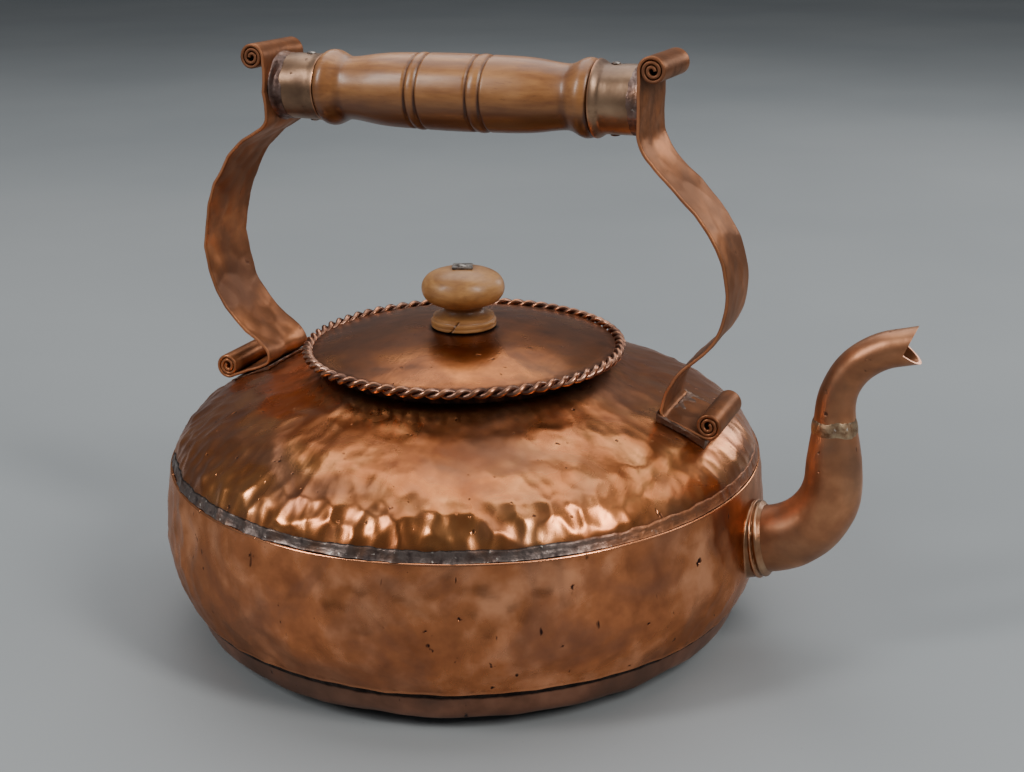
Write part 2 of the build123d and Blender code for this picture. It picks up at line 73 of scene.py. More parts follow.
# ---------------------------------------------------------------- driving dimensions

wall = 1.5
lip_radius = 150.0
lip_z = node_box("body_lower")[1][2]
bowl_foot_radius = 146.7
bowl_low_swell, bowl_high_swell = 10.8, 3.45  # how far its side curves out below and above
skirt_z, neck_z = node_box("body_upper")[0][2], node_box("body_upper")[1][2]
dome_radius = node_box("body_upper")[1][0]
neck_radius = 70.0
neck_top_z = node_box("neck_ring")[1][2]
neck_low_z = node_box("neck_ring")[0][2]
neck_flange_radius = node_box("neck_ring")[1][0]
pan_radius, pan_top_z = node_box("base_pan")[1][0], node_box("base_pan")[1][2]
pan_edge_radius = 137.0
stand_radius = 108.0  # flat middle of the bottom
solder_height = 5.0  # of the band above the shoulder's lip

lid_radius = node_box("lid_disc")[1][0]
lid_rise = 9.6
lid_sheet = 1.2
lid_top_z = node_box("lid_disc")[1][2]
lid_rim_z = lid_top_z - lid_rise
rope_thickness = 5.4
rope_radius = node_box("lid_rope")[1][0] - rope_thickness / 2
rope_turns = 34
sleeve_radius = node_box("lid_sleeve")[1][0]
sleeve_low_z = node_box("lid_sleeve")[0][2]
knob_low_z, knob_top_z = node_box("knob")[0][2], node_box("knob")[1][2]
knob_foot_radius = 16.4
pin_low_z, pin_top_z = node_box("knob_pin")[0][2], node_box("knob_pin")[1][2]
pin_radius, pin_head_spread, pin_head_height = 2.0, 1.2, 0.9
washer_side, washer_turn = 10.0, 23

strap_width, strap_thickness = 39.3, 1.6
strap_inner_x = 95.5
strap_top_z = 275.7
scroll_radius, scroll_shrink, scroll_half_turns = 5.75, 1.0, 5
bend_radius, bend_heading = 4.6, -99.1

grip_z = 260.2
ferrule_radius, ferrule_wall = 16.2, 0.9
ferrule_mouth_x = node_box("ferrule_front")[0][0]
nail_x = 79.5
bead_radius, grip_neck_radius, grip_radius = 18.5, 15.3, 18.4

spout_start, spout_tilt = (149.0, 50.5), 12.0
spout_wall = 1.2
spout_base_radius = 16.2
spout_elbow_radius, spout_riser_heading = 36.4, 92.0
spout_crook_radius, spout_mouth_tilt = 33.0, 14.0


# ---------------------------------------------------------------- noise and hammer marks


def hash01(cells, seed):
    """A repeatable number from 0 to 1 for each whole-number cell."""
    x, y, z = (cells[..., i].astype(np.int64) for i in range(3))
    h = (x * 73856093 ^ y * 19349663 ^ z * 83492791 ^ (seed + 1) * 15485863) & 0x7FFFFFFF
    h = ((h ^ (h >> 13)) * 1274126177) & 0x7FFFFFFF
    h = ((h ^ (h >> 15)) * 668265263) & 0x7FFFFFFF
    return ((h ^ (h >> 11)) & 0xFFFFFF) / 0x1000000


# turns the noise's cells away from the frame's axes, so that no row of them shows
askew = np.array(Matrix.Rotation(0.7, 3, Vector((1, 0.6, 0.3))) @ Matrix.Rotation(0.5, 3, "Z"))


def noise(points, size, seed=0):
    """Smooth noise from -1 to 1, with bumps about size millimetres apart."""
    p = np.asarray(points) @ askew / size
    cell = np.floor(p)
    f = p - cell
    f = f * f * (3 - 2 * f)
    total = 0
    for corner in np.ndindex(2, 2, 2):
        weight = np.prod(np.where(np.array(corner) == 1, f, 1 - f), axis=-1)
        total = total + weight * hash01(cell + np.array(corner), seed)
    return 2 * total - 1


def rough(points, size, seed):
    """Noise with two finer and weaker layers added."""
    return sum(noise(points, size / 2**i, seed + 17 * i) / 2**i for i in range(3))


def hammered(points, size, seed, softness=12.0):
    """Height of hammer marks for a facet size: shallow hollows that meet in soft ridges.

    The result is about 0 on average, -0.2 in the hollows and +0.2 on the ridges.
    """
    p = np.asarray(points) / size
    cell = np.floor(p)
    total = 0
    for offset in np.ndindex(3, 3, 3):
        corner = cell + np.array(offset) - 1
        centre = corner + np.stack([hash01(corner, seed + i) for i in range(3)], -1)
        level = 0.3 * hash01(corner, seed + 3)
        total = total + np.exp(-softness * (((p - centre) ** 2).sum(-1) + level))
    height = -np.log(total) / softness
    return height - height.mean()


def smoothstep(x, start, end):
    """0 at start and 1 at end, with a soft rise between them; start may be the higher one."""
    t = np.clip((np.asarray(x, float) - start) / (end - start), 0, 1)
    return t * t * (3 - 2 * t)


# ---------------------------------------------------------------- directions and curves


def facing(degrees):
    """Unit vector in a plane, at an angle from its first axis."""
    return np.array([math.cos(math.radians(degrees)), math.sin(math.radians(degrees))])


def seen_from(azimuth, elevation):
    """Unit vector from the kettle towards a viewer; azimuth 0 is the frame's -Y side."""
    a, e = math.radians(azimuth), math.radians(elevation)
    return Vector((math.sin(a) * math.cos(e), -math.cos(a) * math.cos(e), math.sin(e)))


def full_turn(count):
    """count angles evenly round a circle."""
    return np.linspace(0, TAU, count, endpoint=False)


def round_axis(radius, angle, height):
    """Points at the given radii, angles and heights round the Z axis."""
    parts = radius * np.cos(angle), radius * np.sin(angle), height
    return np.stack(np.broadcast_arrays(*parts), -1)


def axis_distance(points):
    """How far points are from the Z axis."""
    return np.hypot(points[..., 0], points[..., 1])


def raised(points, normals, height):
    """Points moved outwards by a height each, in millimetres."""
    return points + normals * height[..., None]


def bezier(points, count):
    """count points along a Bezier curve through the given control points."""
    p = np.array(points, float)
    n = len(p) - 1
    t = np.linspace(0, 1, count)[:, None]
    return sum(math.comb(n, i) * t**i * (1 - t) ** (n - i) * p[i] for i in range(n + 1))


def spline(points, start_direction, end_direction, count):
    """count points on a smooth curve through points, with the given directions at its ends."""
    p = np.array(points, float)
    h = np.linalg.norm(np.diff(p, axis=0), axis=1)
    n = len(p)
    left, right = np.eye(n), np.zeros((n, 2))
    right[0] = np.array(start_direction) / np.linalg.norm(start_direction)
    right[-1] = np.array(end_direction) / np.linalg.norm(end_direction)
    for i in range(1, n - 1):
        left[i, i - 1 : i + 2] = 1 / h[i - 1], 2 / h[i - 1] + 2 / h[i], 1 / h[i]
        right[i] = 3 * (p[i] - p[i - 1]) / h[i - 1] ** 2 + 3 * (p[i + 1] - p[i]) / h[i] ** 2
    slope = np.linalg.solve(left, right)
    place = np.concatenate([[0], np.cumsum(h)])
    at = np.linspace(0, place[-1], count)
    i = np.clip(np.searchsorted(place, at, side="right") - 1, 0, n - 2)
    t = ((at - place[i]) / h[i])[:, None]
    step = h[i][:, None]
    return (
        (1 + 2 * t) * (1 - t) ** 2 * p[i]
        + t * (1 - t) ** 2 * step * slope[i]
        + t**2 * (3 - 2 * t) * p[i + 1]
        + t**2 * (t - 1) * step * slope[i + 1]
    )


def walk(start, heading, moves, step):
    """Points from start, along moves of (length, turn in degrees): straight runs and arcs."""
    points = [np.array(start, float)]
    for length, turn in moves:
        count = max(2, round(length / step))
        half = math.radians(turn) / count / 2
        chord = length / count * (math.sin(half) / half if half else 1)
        for _ in range(count):
            middle = math.radians(heading) + half
            points.append(points[-1] + chord * np.array([math.cos(middle), math.sin(middle)]))
            heading += turn / count
    return np.array(points)


def run(*points, step=1.0):
    """Points along straight lines, with every corner kept."""
    parts = [np.array(points[:1], float)]
    for a, b in zip(points, points[1:]):
        count = max(1, round(math.dist(a, b) / step))
        parts.append(np.linspace(a, b, count + 1)[1:])
    return np.concatenate(parts)


def joined(*parts):
    """Curves laid end to end, with the doubled points dropped."""
    whole = np.concatenate(parts)
    keep = np.linalg.norm(np.diff(whole, axis=0), axis=1) > 1e-3
    return whole[np.concatenate([[True], keep])]


def lengths_along(path):
    """How far along a curve each of its points lies."""
    return np.concatenate([[0], np.cumsum(np.linalg.norm(np.diff(path, axis=0), axis=1))])


def left_normals(path):
    """Unit normals of a plane path, to the left of its direction."""
    tangent = np.gradient(path, axis=0)
    tangent /= np.linalg.norm(tangent, axis=1, keepdims=True)
    return np.stack([-tangent[:, 1], tangent[:, 0]], -1)


# ---------------------------------------------------------------- meshes


def grid_faces(rows, columns, close_rows=False):
    """Quads over a grid of rows x columns vertices, whose columns run once round."""
    i = np.arange(rows if close_rows else rows - 1)[:, None]
    j = np.arange(columns)[None, :]
    i2, j2 = (i + 1) % rows, (j + 1) % columns
    quads = [i * columns + j, i * columns + j2, i2 * columns + j2, i2 * columns + j]
    return np.stack(quads, -1).reshape(-1, 4).tolist()


def new_object(name, data):
    """A new object in the scene."""
    made = bpy.data.objects.new(name, data)
    bpy.context.scene.collection.objects.link(made)
    return made


def set_marks(mesh, marks):
    """Keeps values on a mesh's vertices, by name, for its material to read."""
    for key, values in marks.items():
        layer = mesh.attributes.new(key, "FLOAT", "POINT")
        layer.data.foreach_set("value", np.asarray(values, np.float32).ravel())


def marked_mesh(name, vertices, faces, marks=None):
    """A mesh with values kept on its vertices, which are in millimetres."""
    mesh = bpy.data.meshes.new(name)
    mesh.from_pydata(in_frame(vertices).tolist(), [], faces)
    set_marks(mesh, marks or {})
    return mesh


def face_outwards(mesh):
    """Turns all faces of a closed mesh outwards."""
    bm = bmesh.new()
    bm.from_mesh(mesh)
    bmesh.ops.recalc_face_normals(bm, faces=bm.faces)
    bm.to_mesh(mesh)
    bm.free()


def add_piece(name, vertices, faces, material, body, slot, node, marks=None, sharp=42):
    """A finished piece that stands for a CAD node. Its vertices are in millimetres."""
    return adopt(name, marked_mesh(name, vertices, faces, marks), material, body, node, sharp)


def adopt(name, mesh, material, body, node, sharp=42):
    """Makes a mesh a smooth-shaded piece with a material and body, in a CAD node's place."""
    face_outwards(mesh)
    mesh.polygons.foreach_set("use_smooth", [True] * len(mesh.polygons))
    mesh.set_sharp_from_angle(angle=math.radians(sharp))
    mesh.materials.clear()
    mesh.materials.append(material)
    piece = new_object(name, mesh)
    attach(piece, body)
    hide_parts(node)
    return piece


def turned(profile, segments, closed=True):
    """A profile (radius, height) turned round Z: points, outward normals, and faces.

    A closed profile's last point joins its first. Normals lie to the right of the profile's
    direction, so an outer face's profile runs upwards.
    """
    angle = full_turn(segments)
    if closed:
        ahead, behind = np.roll(profile, -1, 0), np.roll(profile, 1, 0)
        tangent = ahead - behind
        tangent = tangent / np.linalg.norm(tangent, axis=1, keepdims=True)
        normal = np.stack([tangent[:, 1], -tangent[:, 0]], -1)
    else:
        normal = -left_normals(profile)
    points, normals = (round_axis(p[:, :1], angle, p[:, 1:]) for p in (profile, normal))
    return points, normals, grid_faces(len(profile), segments, close_rows=closed)


def on_grip_axis(points):
    """Turns points made round Z so that their axis is the grip's: height becomes X."""
    return np.stack([points[..., 2], points[..., 1], grip_z - points[..., 0]], -1)


def cut_out(name, body, cutter, marks=None):
    """The mesh of a body with a cutter taken out. Each is (vertices, faces), in millimetres."""
    made = [
        new_object(f"{name}_body", marked_mesh(f"{name}_body", *body, marks)),
        new_object(f"{name}_cutter", marked_mesh(f"{name}_cutter", *cutter)),
    ]
    for used in made:
        face_outwards(used.data)
    boolean = made[0].modifiers.new("cut", "BOOLEAN")
    boolean.operation = "DIFFERENCE"
    boolean.solver = "EXACT"
    boolean.object = made[1]
    mesh = shaped_mesh(made[0])
    for used in made:
        bpy.data.objects.remove(used)
    return mesh


def shaped_mesh(source):
    """The mesh of an object, as its modifiers leave it."""
    bpy.context.view_layer.update()
    return bpy.data.meshes.new_from_object(source.evaluated_get(bpy.context.evaluated_depsgraph_get()))


def lumpy_copy(node, name, voxel, lump, lump_size, sink, material, seed):
    """A soldered part of the frame remeshed finely and made lumpy, in place of its CAD node."""
    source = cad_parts[node].copy()
    source.data = source.data.copy()
    source.name = f"{name}_source"
    bpy.context.scene.collection.objects.link(source)
    remesh = source.modifiers.new("remesh", "REMESH")
    remesh.mode = "VOXEL"
    remesh.voxel_size = voxel * MM
    mesh = shaped_mesh(source)
    bpy.data.objects.remove(source)
    points, normals = np.empty((2, len(mesh.vertices) * 3))
    mesh.vertices.foreach_get("co", points)
    mesh.vertices.foreach_get("normal", normals)
    points, normals = points.reshape(-1, 3) / MM, normals.reshape(-1, 3)
    points = raised(points, normals, lump * rough(points, lump_size, seed) - sink)
    mesh.vertices.foreach_set("co", (points * MM).ravel())
    return adopt(name, mesh, material, "kettle", node, sharp=70)


# ---------------------------------------------------------------- materials


def colour(red, green, blue):
    """A linear colour from 0-255 display values."""
    parts = [c / 255 for c in (red, green, blue)]
    return tuple(c / 12.92 if c <= 0.04045 else ((c + 0.055) / 1.055) ** 2.4 for c in parts) + (1,)


class Look:
    """A material, with short calls for the nodes that its surface needs."""

    def __init__(self, name, metallic, roughness, **shader):
        self.material = bpy.data.materials.new(name)
        self.material.use_nodes = True
        self.tree = self.material.node_tree
        self.shader = self.tree.nodes["Principled BSDF"]
        self.shader.inputs["Metallic"].default_value = metallic
        self.shader.inputs["Roughness"].default_value = roughness
        for key, value in shader.items():
            self.shader.inputs[key.replace("_", " ")].default_value = value
        self.place = self.node("TexCoord").outputs["Object"]

    def node(self, kind, inputs=None, **settings):
        """A shader node with its settings, and its inputs linked or set."""
        node = self.tree.nodes.new("ShaderNode" + kind)
        for key, value in settings.items():
            setattr(node, key, value)
        for key, value in (inputs or {}).items():
            if isinstance(value, bpy.types.NodeSocket):
                self.tree.links.new(value, node.inputs[key])
            else:
                node.inputs[key].default_value = value
        return node

    def noise(self, size, detail=3.0, stretch=(1, 1, 1), shift=0.0, distortion=0.0):
        """Noise whose bumps are about size millimetres apart, longer along the stretched axes."""
        scale = [1000 / size / s for s in stretch]
        mapping = self.node("Mapping", {"Vector": self.place, "Scale": scale, "Location": (shift,) * 3})
        values = {"Vector": mapping.outputs[0], "Scale": 1.0, "Detail": detail, "Distortion": distortion}
        return self.node("TexNoise", values).outputs["Fac"]

    def mark(self, name):
        """A value kept on the mesh's vertices."""
        return self.node("Attribute", attribute_name=name).outputs["Fac"]

    def span(self, value, start, end, low=0.0, high=1.0):
        """value from start to end made low to high, and held beyond."""
        values = {"Value": value, "From Min": start, "From Max": end, "To Min": low, "To Max": high}
        return self.node("MapRange", values).outputs["Result"]

    def ramp(self, value, *stops):
        """Colours along a value; a stop is (place, display colour)."""
        node = self.node("ValToRGB", {"Fac": value})
        elements = node.color_ramp.elements
        while len(elements) < len(stops):
            elements.new(0.5)
        for element, (place, tint) in zip(elements, stops):
            element.position = place
            element.color = colour(*tint)
        return node.outputs["Color"]

    def mix(self, share, first, second):
        """A colour mixed with a display colour; a share of 0 gives the first."""
        node = self.node("Mix", {0: share, 6: first, 7: colour(*second)}, data_type="RGBA")
        return node.outputs[2]

    def math(self, operation, *values):
        """The result of a calculation with two or three values."""
        return self.node("Math", dict(enumerate(values)), operation=operation).outputs[0]

    def total(self, start, *terms):
        """start plus the sum of terms, each of them (value, weight)."""
        for value, weight in terms:
            start = self.math("MULTIPLY_ADD", value, weight, start)
        return start

    def bump(self, height, depth, below=None):
        """A fine relief depth millimetres deep, over another one if below is given."""
        inputs = {"Height": height, "Distance": depth * MM, "Strength": 1.0}
        if below is not None:
            inputs["Normal"] = below
        return self.node("Bump", inputs).outputs["Normal"]

    def finish(self, base, roughness, normal):
        """Links what is given to the shader, and gives the material."""
        for key, value in {"Base Color": base, "Roughness": roughness, "Normal": normal}.items():
            if value is not None:
                self.tree.links.new(value, self.shader.inputs[key])
        return self.material


def copper_look(
    name, bright, body, dark, patina, gloss, pit_share,
    scratch_depth=0.03, mottled=0.35, metal=1.0, glancing=(252, 248, 246),
):
    """Aged copper: mottled colour, dull patina in patches, small dark pits, fine scratches.

    gloss is the roughness of the clean metal, and glancing tints what it mirrors at its rim.
    The mesh mark "edge" shows rubbed edges, and on the bowl's lip and foot painted highlight lines. The
    darkening mark shows grime, and in places painted shade.
    """
    look = Look(name, metal, gloss, Specular_Tint=colour(*glancing))
    cloud = look.noise(34, 4, shift=3.1, distortion=0.6)
    mottle = look.noise(11, 3, shift=7.7)
    tone = look.total(0.0, (cloud, 1 - mottled), (mottle, mottled))
    base = look.ramp(tone, (0.34, dark), (0.5, body), (0.66, bright))
    film = look.span(look.noise(48, 5, shift=12.3, distortion=0.9), 0.46, 0.66)
    base = look.mix(look.math("MULTIPLY", film, 0.75), base, patina)
    specks = look.span(look.noise(5.5, 2, shift=21.0), 0.72, 0.77)
    streaks = look.span(look.noise(4.2, 1.5, stretch=(1, 1, 3), shift=4.0), 0.74, 0.79)
    pits = look.math("MULTIPLY", look.math("MAXIMUM", specks, streaks), pit_share)
    base = look.mix(pits, base, (58, 38, 36))
    # the darkening mark paints grime, and, where a piece sets it, painted shade
    dirt = look.span(look.total(-0.35, (look.mark("dirt"), 1.0), (look.noise(5, 3), 0.7)), 0.25, 0.75)
    base = look.mix(dirt, base, (48, 34, 30))
    # the edge colour paints rubbed edges, and on the bowl's lip and foot painted highlight lines
    edge = look.mark("edge")
    base = look.mix(edge, base, (236, 158, 112))
    hair = look.noise(1.5, 2, stretch=(1, 9, 9), shift=1.7)
    rough_value = look.span(cloud, 0.3, 0.7, gloss + 0.06, gloss - 0.04)
    rough_value = look.total(rough_value, (film, 0.08), (dirt, 0.25), (edge, -0.12))
    relief = look.bump(look.noise(4.5, 3, shift=9.0), 0.06)
    relief = look.bump(hair, scratch_depth, relief)
    relief = look.bump(look.math("SUBTRACT", 1.0, pits), 0.25, relief)
    return look.finish(base, rough_value, relief)


hammered_copper = copper_look(
    "hammered_copper", (216, 146, 92), (186, 115, 69), (150, 88, 54), (138, 97, 75), 0.25, 0.8,
)
bowl_copper = copper_look(
    "bowl_copper", (238, 162, 118), (197, 123, 81), (161, 98, 66),
    (142, 98, 78), 0.26, 1.0, mottled=0.45, glancing=(236, 220, 208),
)
lid_copper = copper_look(
    "lid_copper", (192, 117, 58), (152, 89, 47), (110, 66, 40),
    (98, 68, 52), 0.26, 0.5, scratch_depth=0.05,
)
pan_copper = copper_look(
    "pan_copper", (168, 118, 94), (138, 96, 76), (106, 74, 60), (110, 84, 72), 0.38, 1.0, metal=0.85,
)
strap_copper = copper_look(
    "strap_copper", (172, 110, 72), (130, 82, 54), (96, 61, 44),
    (98, 67, 52), 0.36, 0.4, metal=0.6, glancing=(222, 188, 162),
)
ferrule_copper = copper_look(
    "ferrule_copper", (176, 144, 116), (144, 114, 90), (108, 84, 67),
    (112, 92, 80), 0.34, 0.4, metal=0.85,
)
spout_copper = copper_look(
    "spout_copper", (202, 142, 101), (167, 112, 79), (126, 87, 64), (130, 100, 80), 0.36, 0.7, metal=0.8,
)
collar_copper = copper_look(
    "collar_copper", (196, 158, 124), (158, 114, 84), (116, 80, 60), (150, 124, 100), 0.3, 0.4,
)
rope_copper = copper_look(
    "rope_copper", (190, 146, 122), (140, 102, 84), (92, 66, 56), (112, 88, 80), 0.32, 0.3,
)


def solder_look(name, light, dark, tint, tint_share, glints=0.8):
    """Grey lumpy soft solder with flux stains."""
    look = Look(name, 1.0, 0.45)
    lumps = look.noise(4.5, 5, shift=2.0)
    base = look.ramp(lumps, (0.34, dark), (0.62, light))
    stain = look.span(look.noise(12, 4, shift=8.0), 0.5, 0.68, 0.0, tint_share)
    base = look.mix(stain, base, tint)
    glint = look.span(look.noise(2.2, 2, shift=31.0), 0.66, 0.74)
    base = look.mix(look.math("MULTIPLY", glint, glints), base, (214, 206, 196))
    base = look.mix(look.mark("dirt"), base, (40, 34, 32))
    base = look.mix(look.mark("edge"), base, (158, 102, 68))
    grain = look.bump(look.noise(1.6, 4, shift=5.0), 0.18)
    grain = look.bump(lumps, 0.35, grain)
    rough_value = look.span(lumps, 0.35, 0.65, 0.62, 0.36)
    return look.finish(base, rough_value, grain)


band_solder = solder_look("band_solder", (130, 116, 110), (72, 62, 60), (104, 78, 64), 0.8)
ferrule_solder = solder_look("ferrule_solder", (134, 112, 104), (84, 66, 60), (122, 88, 68), 0.9, 0.3)
foot_solder = solder_look("foot_solder", (132, 106, 90), (82, 62, 54), (122, 84, 62), 0.9, 0.2)
brassy_solder = solder_look("brassy_solder", (190, 164, 132), (118, 88, 66), (148, 98, 68), 0.9)
# near-black solder in the bottom seam: painted shade of the seam's groove
seam_solder_painted_shade = solder_look("seam_solder_painted_shade", (52, 42, 38), (36, 30, 28), (46, 36, 32), 0.8, 0)


def wood_look(name, light, middle, dark, along, gloss, grain_size, coat):
    """Turned and varnished hardwood. along gives the stretch of the grain on each axis."""
    look = Look(name, 0.0, gloss, Coat_Weight=coat, Coat_Roughness=0.22, IOR=1.5)
    bands = look.noise(grain_size, 3, stretch=along, shift=6.0, distortion=0.8)
    fine = look.noise(grain_size / 6, 2, stretch=along, shift=2.0)
    tone = look.total(0.0, (bands, 0.75), (fine, 0.25))
    base = look.ramp(tone, (0.3, dark), (0.5, middle), (0.7, light))
    wear = look.span(look.noise(26, 4, shift=14.0), 0.52, 0.7)
    base = look.mix(look.math("MULTIPLY", wear, 0.35), base, light)
    # the darkening mark paints grime, and on the grip's underside and beside the ferrule mouths painted shade
    base = look.mix(look.mark("dirt"), base, (72, 38, 20))
    pores = look.span(look.noise(0.7, 1, stretch=along, shift=3.0), 0.66, 0.72)
    base = look.mix(look.math("MULTIPLY", pores, 0.35), base, dark)
    relief = look.bump(fine, 0.05)
    relief = look.bump(look.noise(7, 3), 0.12, relief)
    rough_value = look.span(wear, 0, 1, gloss, gloss + 0.16)
    return look.finish(base, rough_value, relief)


grip_wood = wood_look("grip_wood", (180, 125, 72), (145, 94, 50), (104, 62, 33), (6, 1, 1), 0.4, 12, 0.22)
knob_wood = wood_look("knob_wood", (177, 128, 75), (151, 104, 57), (114, 73, 40), (3, 3, 1), 0.45, 7, 0.12)


def iron_look():
    """Dull grey iron of the nails, washer and pin, with rust in places."""
    look = Look("fixing_iron", 1.0, 0.42)
    patches = look.noise(2.4, 4)
    base = look.ramp(patches, (0.4, (92, 86, 82)), (0.6, (158, 150, 142)))
    rust = look.span(look.noise(4, 3, shift=5.0), 0.56, 0.7, 0.0, 0.7)
    base = look.mix(rust, base, (112, 70, 46))
    return look.finish(base, look.span(patches, 0.3, 0.7, 0.55, 0.34), look.bump(look.noise(0.8, 3), 0.06))


fixing_iron = iron_look()


# ---------------------------------------------------------------- camera


def add_camera(azimuth=22.76, elevation=18.685, roll=-0.732, distance=752.1, beside=23.85, height=111.3):
    """Looks at a point beside mm to the right of the body's axis and height mm up."""
    back = seen_from(azimuth, elevation)
    level = Vector((*facing(azimuth), 0))
    turn = math.radians(roll)
    right = math.cos(turn) * level + math.sin(turn) * back.cross(level)
    camera = new_object("camera", bpy.data.cameras.new("camera"))
    camera.data.lens = 51.66
    camera.data.sensor_width = 36
    camera.data.clip_end = 100
    axes = Matrix((right, back.cross(right), back)).transposed()
    place = (level * beside + Vector((0, 0, height + base_bulge)) + back * distance) * MM
    camera.matrix_world = Matrix.Translation(place) @ axes.to_4x4()
    bpy.context.scene.camera = camera


add_camera()


# ---------------------------------------------------------------- body shells

body_segments = 720
neck_slope = 11.0
neck_flare = 4.2  # how far the hammered metal is drawn up the neck
dome_points = [(dome_radius, lip_z), (dome_radius, lip_z + 2), (dome_radius, neck_z - neck_slope)]
dome_curve = bezier([*dome_points, (neck_radius, neck_z)], 68)
dome_along = lengths_along(dome_curve)


def dome_relief(points):
    """Hammer work on the dome: long upright facets over the shoulder, softer marks higher up."""
    z = points[..., 2]
    low = smoothstep(z, 112, 96)
    facets = hammered(points * (1, 1, 0.5), 6.2, 3, 8)
    dents = noise(points * (1, 1, 0.6), 5.2, 11)
    soft = hammered(points, 15, 5)
    rim = smoothstep(axis_distance(points), neck_radius, neck_radius + 8)
    calm = 1 - 0.7 * smoothstep(points[..., 0], 88, 128)
    fine = (0.4 + 1.3 * low) * facets + (0.04 + 0.14 * low) * dents
    return rim * (calm * fine + (0.3 + 0.7 * calm) * soft + 0.3 * noise(points, 60, 8))


def dome_surface(along, angle):
    """Points and normals of the hammered dome, along mm up from the shoulder's lip."""
    line, ahead, behind = (
        np.stack([np.interp(along + further, dome_along, dome_curve[:, i]) for i in (0, 1)], -1)
        for further in (0, 0.5, -0.5)
    )
    slope = ahead - behind
    slope = slope / np.linalg.norm(slope, axis=-1, keepdims=True)
    out = round_axis(slope[..., 1], angle, -slope[..., 0])
    points = round_axis(line[..., 0], angle, line[..., 1])
    return raised(points, out, dome_relief(points)), out


def solder_run(
    name, surface, start, end, thickness, material, node, rows, columns, seed,
    lump=0.25, upper_edge_darkening=1.0, coppery=0.0,
):
    """A lumpy run of solder round a joint.

    surface(along, angle) gives points and outward normals, and start and end give the places
    along it for each angle. thickness lists (share of the way, mm).
    """
    angle = full_turn(columns)[None, :]
    share = np.linspace(0, 1, rows)[:, None]
    along = start(angle) * (1 - share) + end(angle) * share
    points, out = surface(along, angle + 0 * share)
    thick = np.interp(share, [s for s, _ in thickness], [t for _, t in thickness])
    middle = np.sin(np.pi * np.clip(share, 0.02, 0.98)) ** 0.5
    lumps = lump * (rough(points, 5, seed) + 0.5 * hammered(points, 3.2, seed + 9))
    outer = raised(points, out, thick + lumps * middle)
    inner = points - out * 0.35
    vertices = np.concatenate([outer, inner[::-1]])
    # darker along the run's upper edge
    dirt = np.concatenate([0 * along + upper_edge_darkening * smoothstep(share, 0.84, 0.97), 0 * along])
    near_spout = coppery * smoothstep(vertices[..., 0], 92, 128)
    marks = {"dirt": dirt * (1 - near_spout), "edge": near_spout}
    faces = grid_faces(2 * rows, columns, close_rows=True)
    return add_piece(name, vertices, faces, material, "kettle", "solder", node, marks, sharp=60)


def add_dome():
    """Raised dome with a skirt inside the bowl's lip, its top drawn up round the neck."""
    outer = joined(run((dome_radius, skirt_z), (dome_radius, lip_z), step=3), dome_curve)
    side = dome_radius - wall
    inner = [(neck_radius, neck_z - wall), (side, neck_z - neck_slope - wall), (side, lip_z + 2)]
    inner = joined(bezier([*inner, (side, lip_z)], 26), run((side, lip_z), (side, skirt_z), step=3))
    points, normals, faces = turned(np.concatenate([outer, inner]), body_segments)
    way = np.where(np.arange(len(points)) < len(outer), 1, -1)[:, None]
    points = raised(points, normals, way * dome_relief(points))
    spread = axis_distance(points)
    points[..., 2] += neck_flare * smoothstep(spread, neck_radius + 20, neck_radius)
    z = points[..., 2]
    # darker just above the shoulder's solder; painted shade under the lid's rim darkens the dome towards the
    # neck
    seam_darkening = smoothstep(z, lip_z + solder_height + 5, lip_z + solder_height - 1)
    neck_painted_shade = smoothstep(spread, neck_radius + 26, neck_radius + 8)
    foot_dirt = smoothstep(np.abs(points[..., 1]), 26, 18) * smoothstep(abs(spread - 118), 19, 10)
    dirt = 0.5 * seam_darkening + 0.42 * neck_painted_shade + 0.35 * foot_dirt
    add_piece(
        "hammered_dome", points, faces, hammered_copper, "kettle", "hammered_copper", "body_upper",
        {"dirt": dirt},
    )


def bowl_curve(top_z, count):
    """The bowl's outside as (radius, height), from its foot up to top_z."""
    foot = bowl_foot_radius, foot_line_z
    low = bowl_foot_radius + bowl_low_swell, foot_line_z + 28.8
    high = lip_radius + bowl_high_swell, lip_z - 38.1
    return bezier([foot, low, high, (lip_radius, top_z)], count)


def bowl_relief(points):
    """Soft irregular hammer work on the bowl, calmer next to its lip and round the spout."""
    z = points[..., 2]
    calm = smoothstep(z, lip_z, lip_z - 9) * (0.5 + 0.5 * smoothstep(z, foot_line_z, foot_line_z + 6))
    away = np.linalg.norm(points - np.array([152, 0, 51]), axis=-1)
    calm = calm * smoothstep(away, 20, 38)
    marks = 1.3 * hammered(points, 9.5, 21, 9) + 1.3 * hammered(points * (1, 1, 0.7), 19, 25, 7)
    return calm * marks + 0.35 * noise(points, 50, 28)


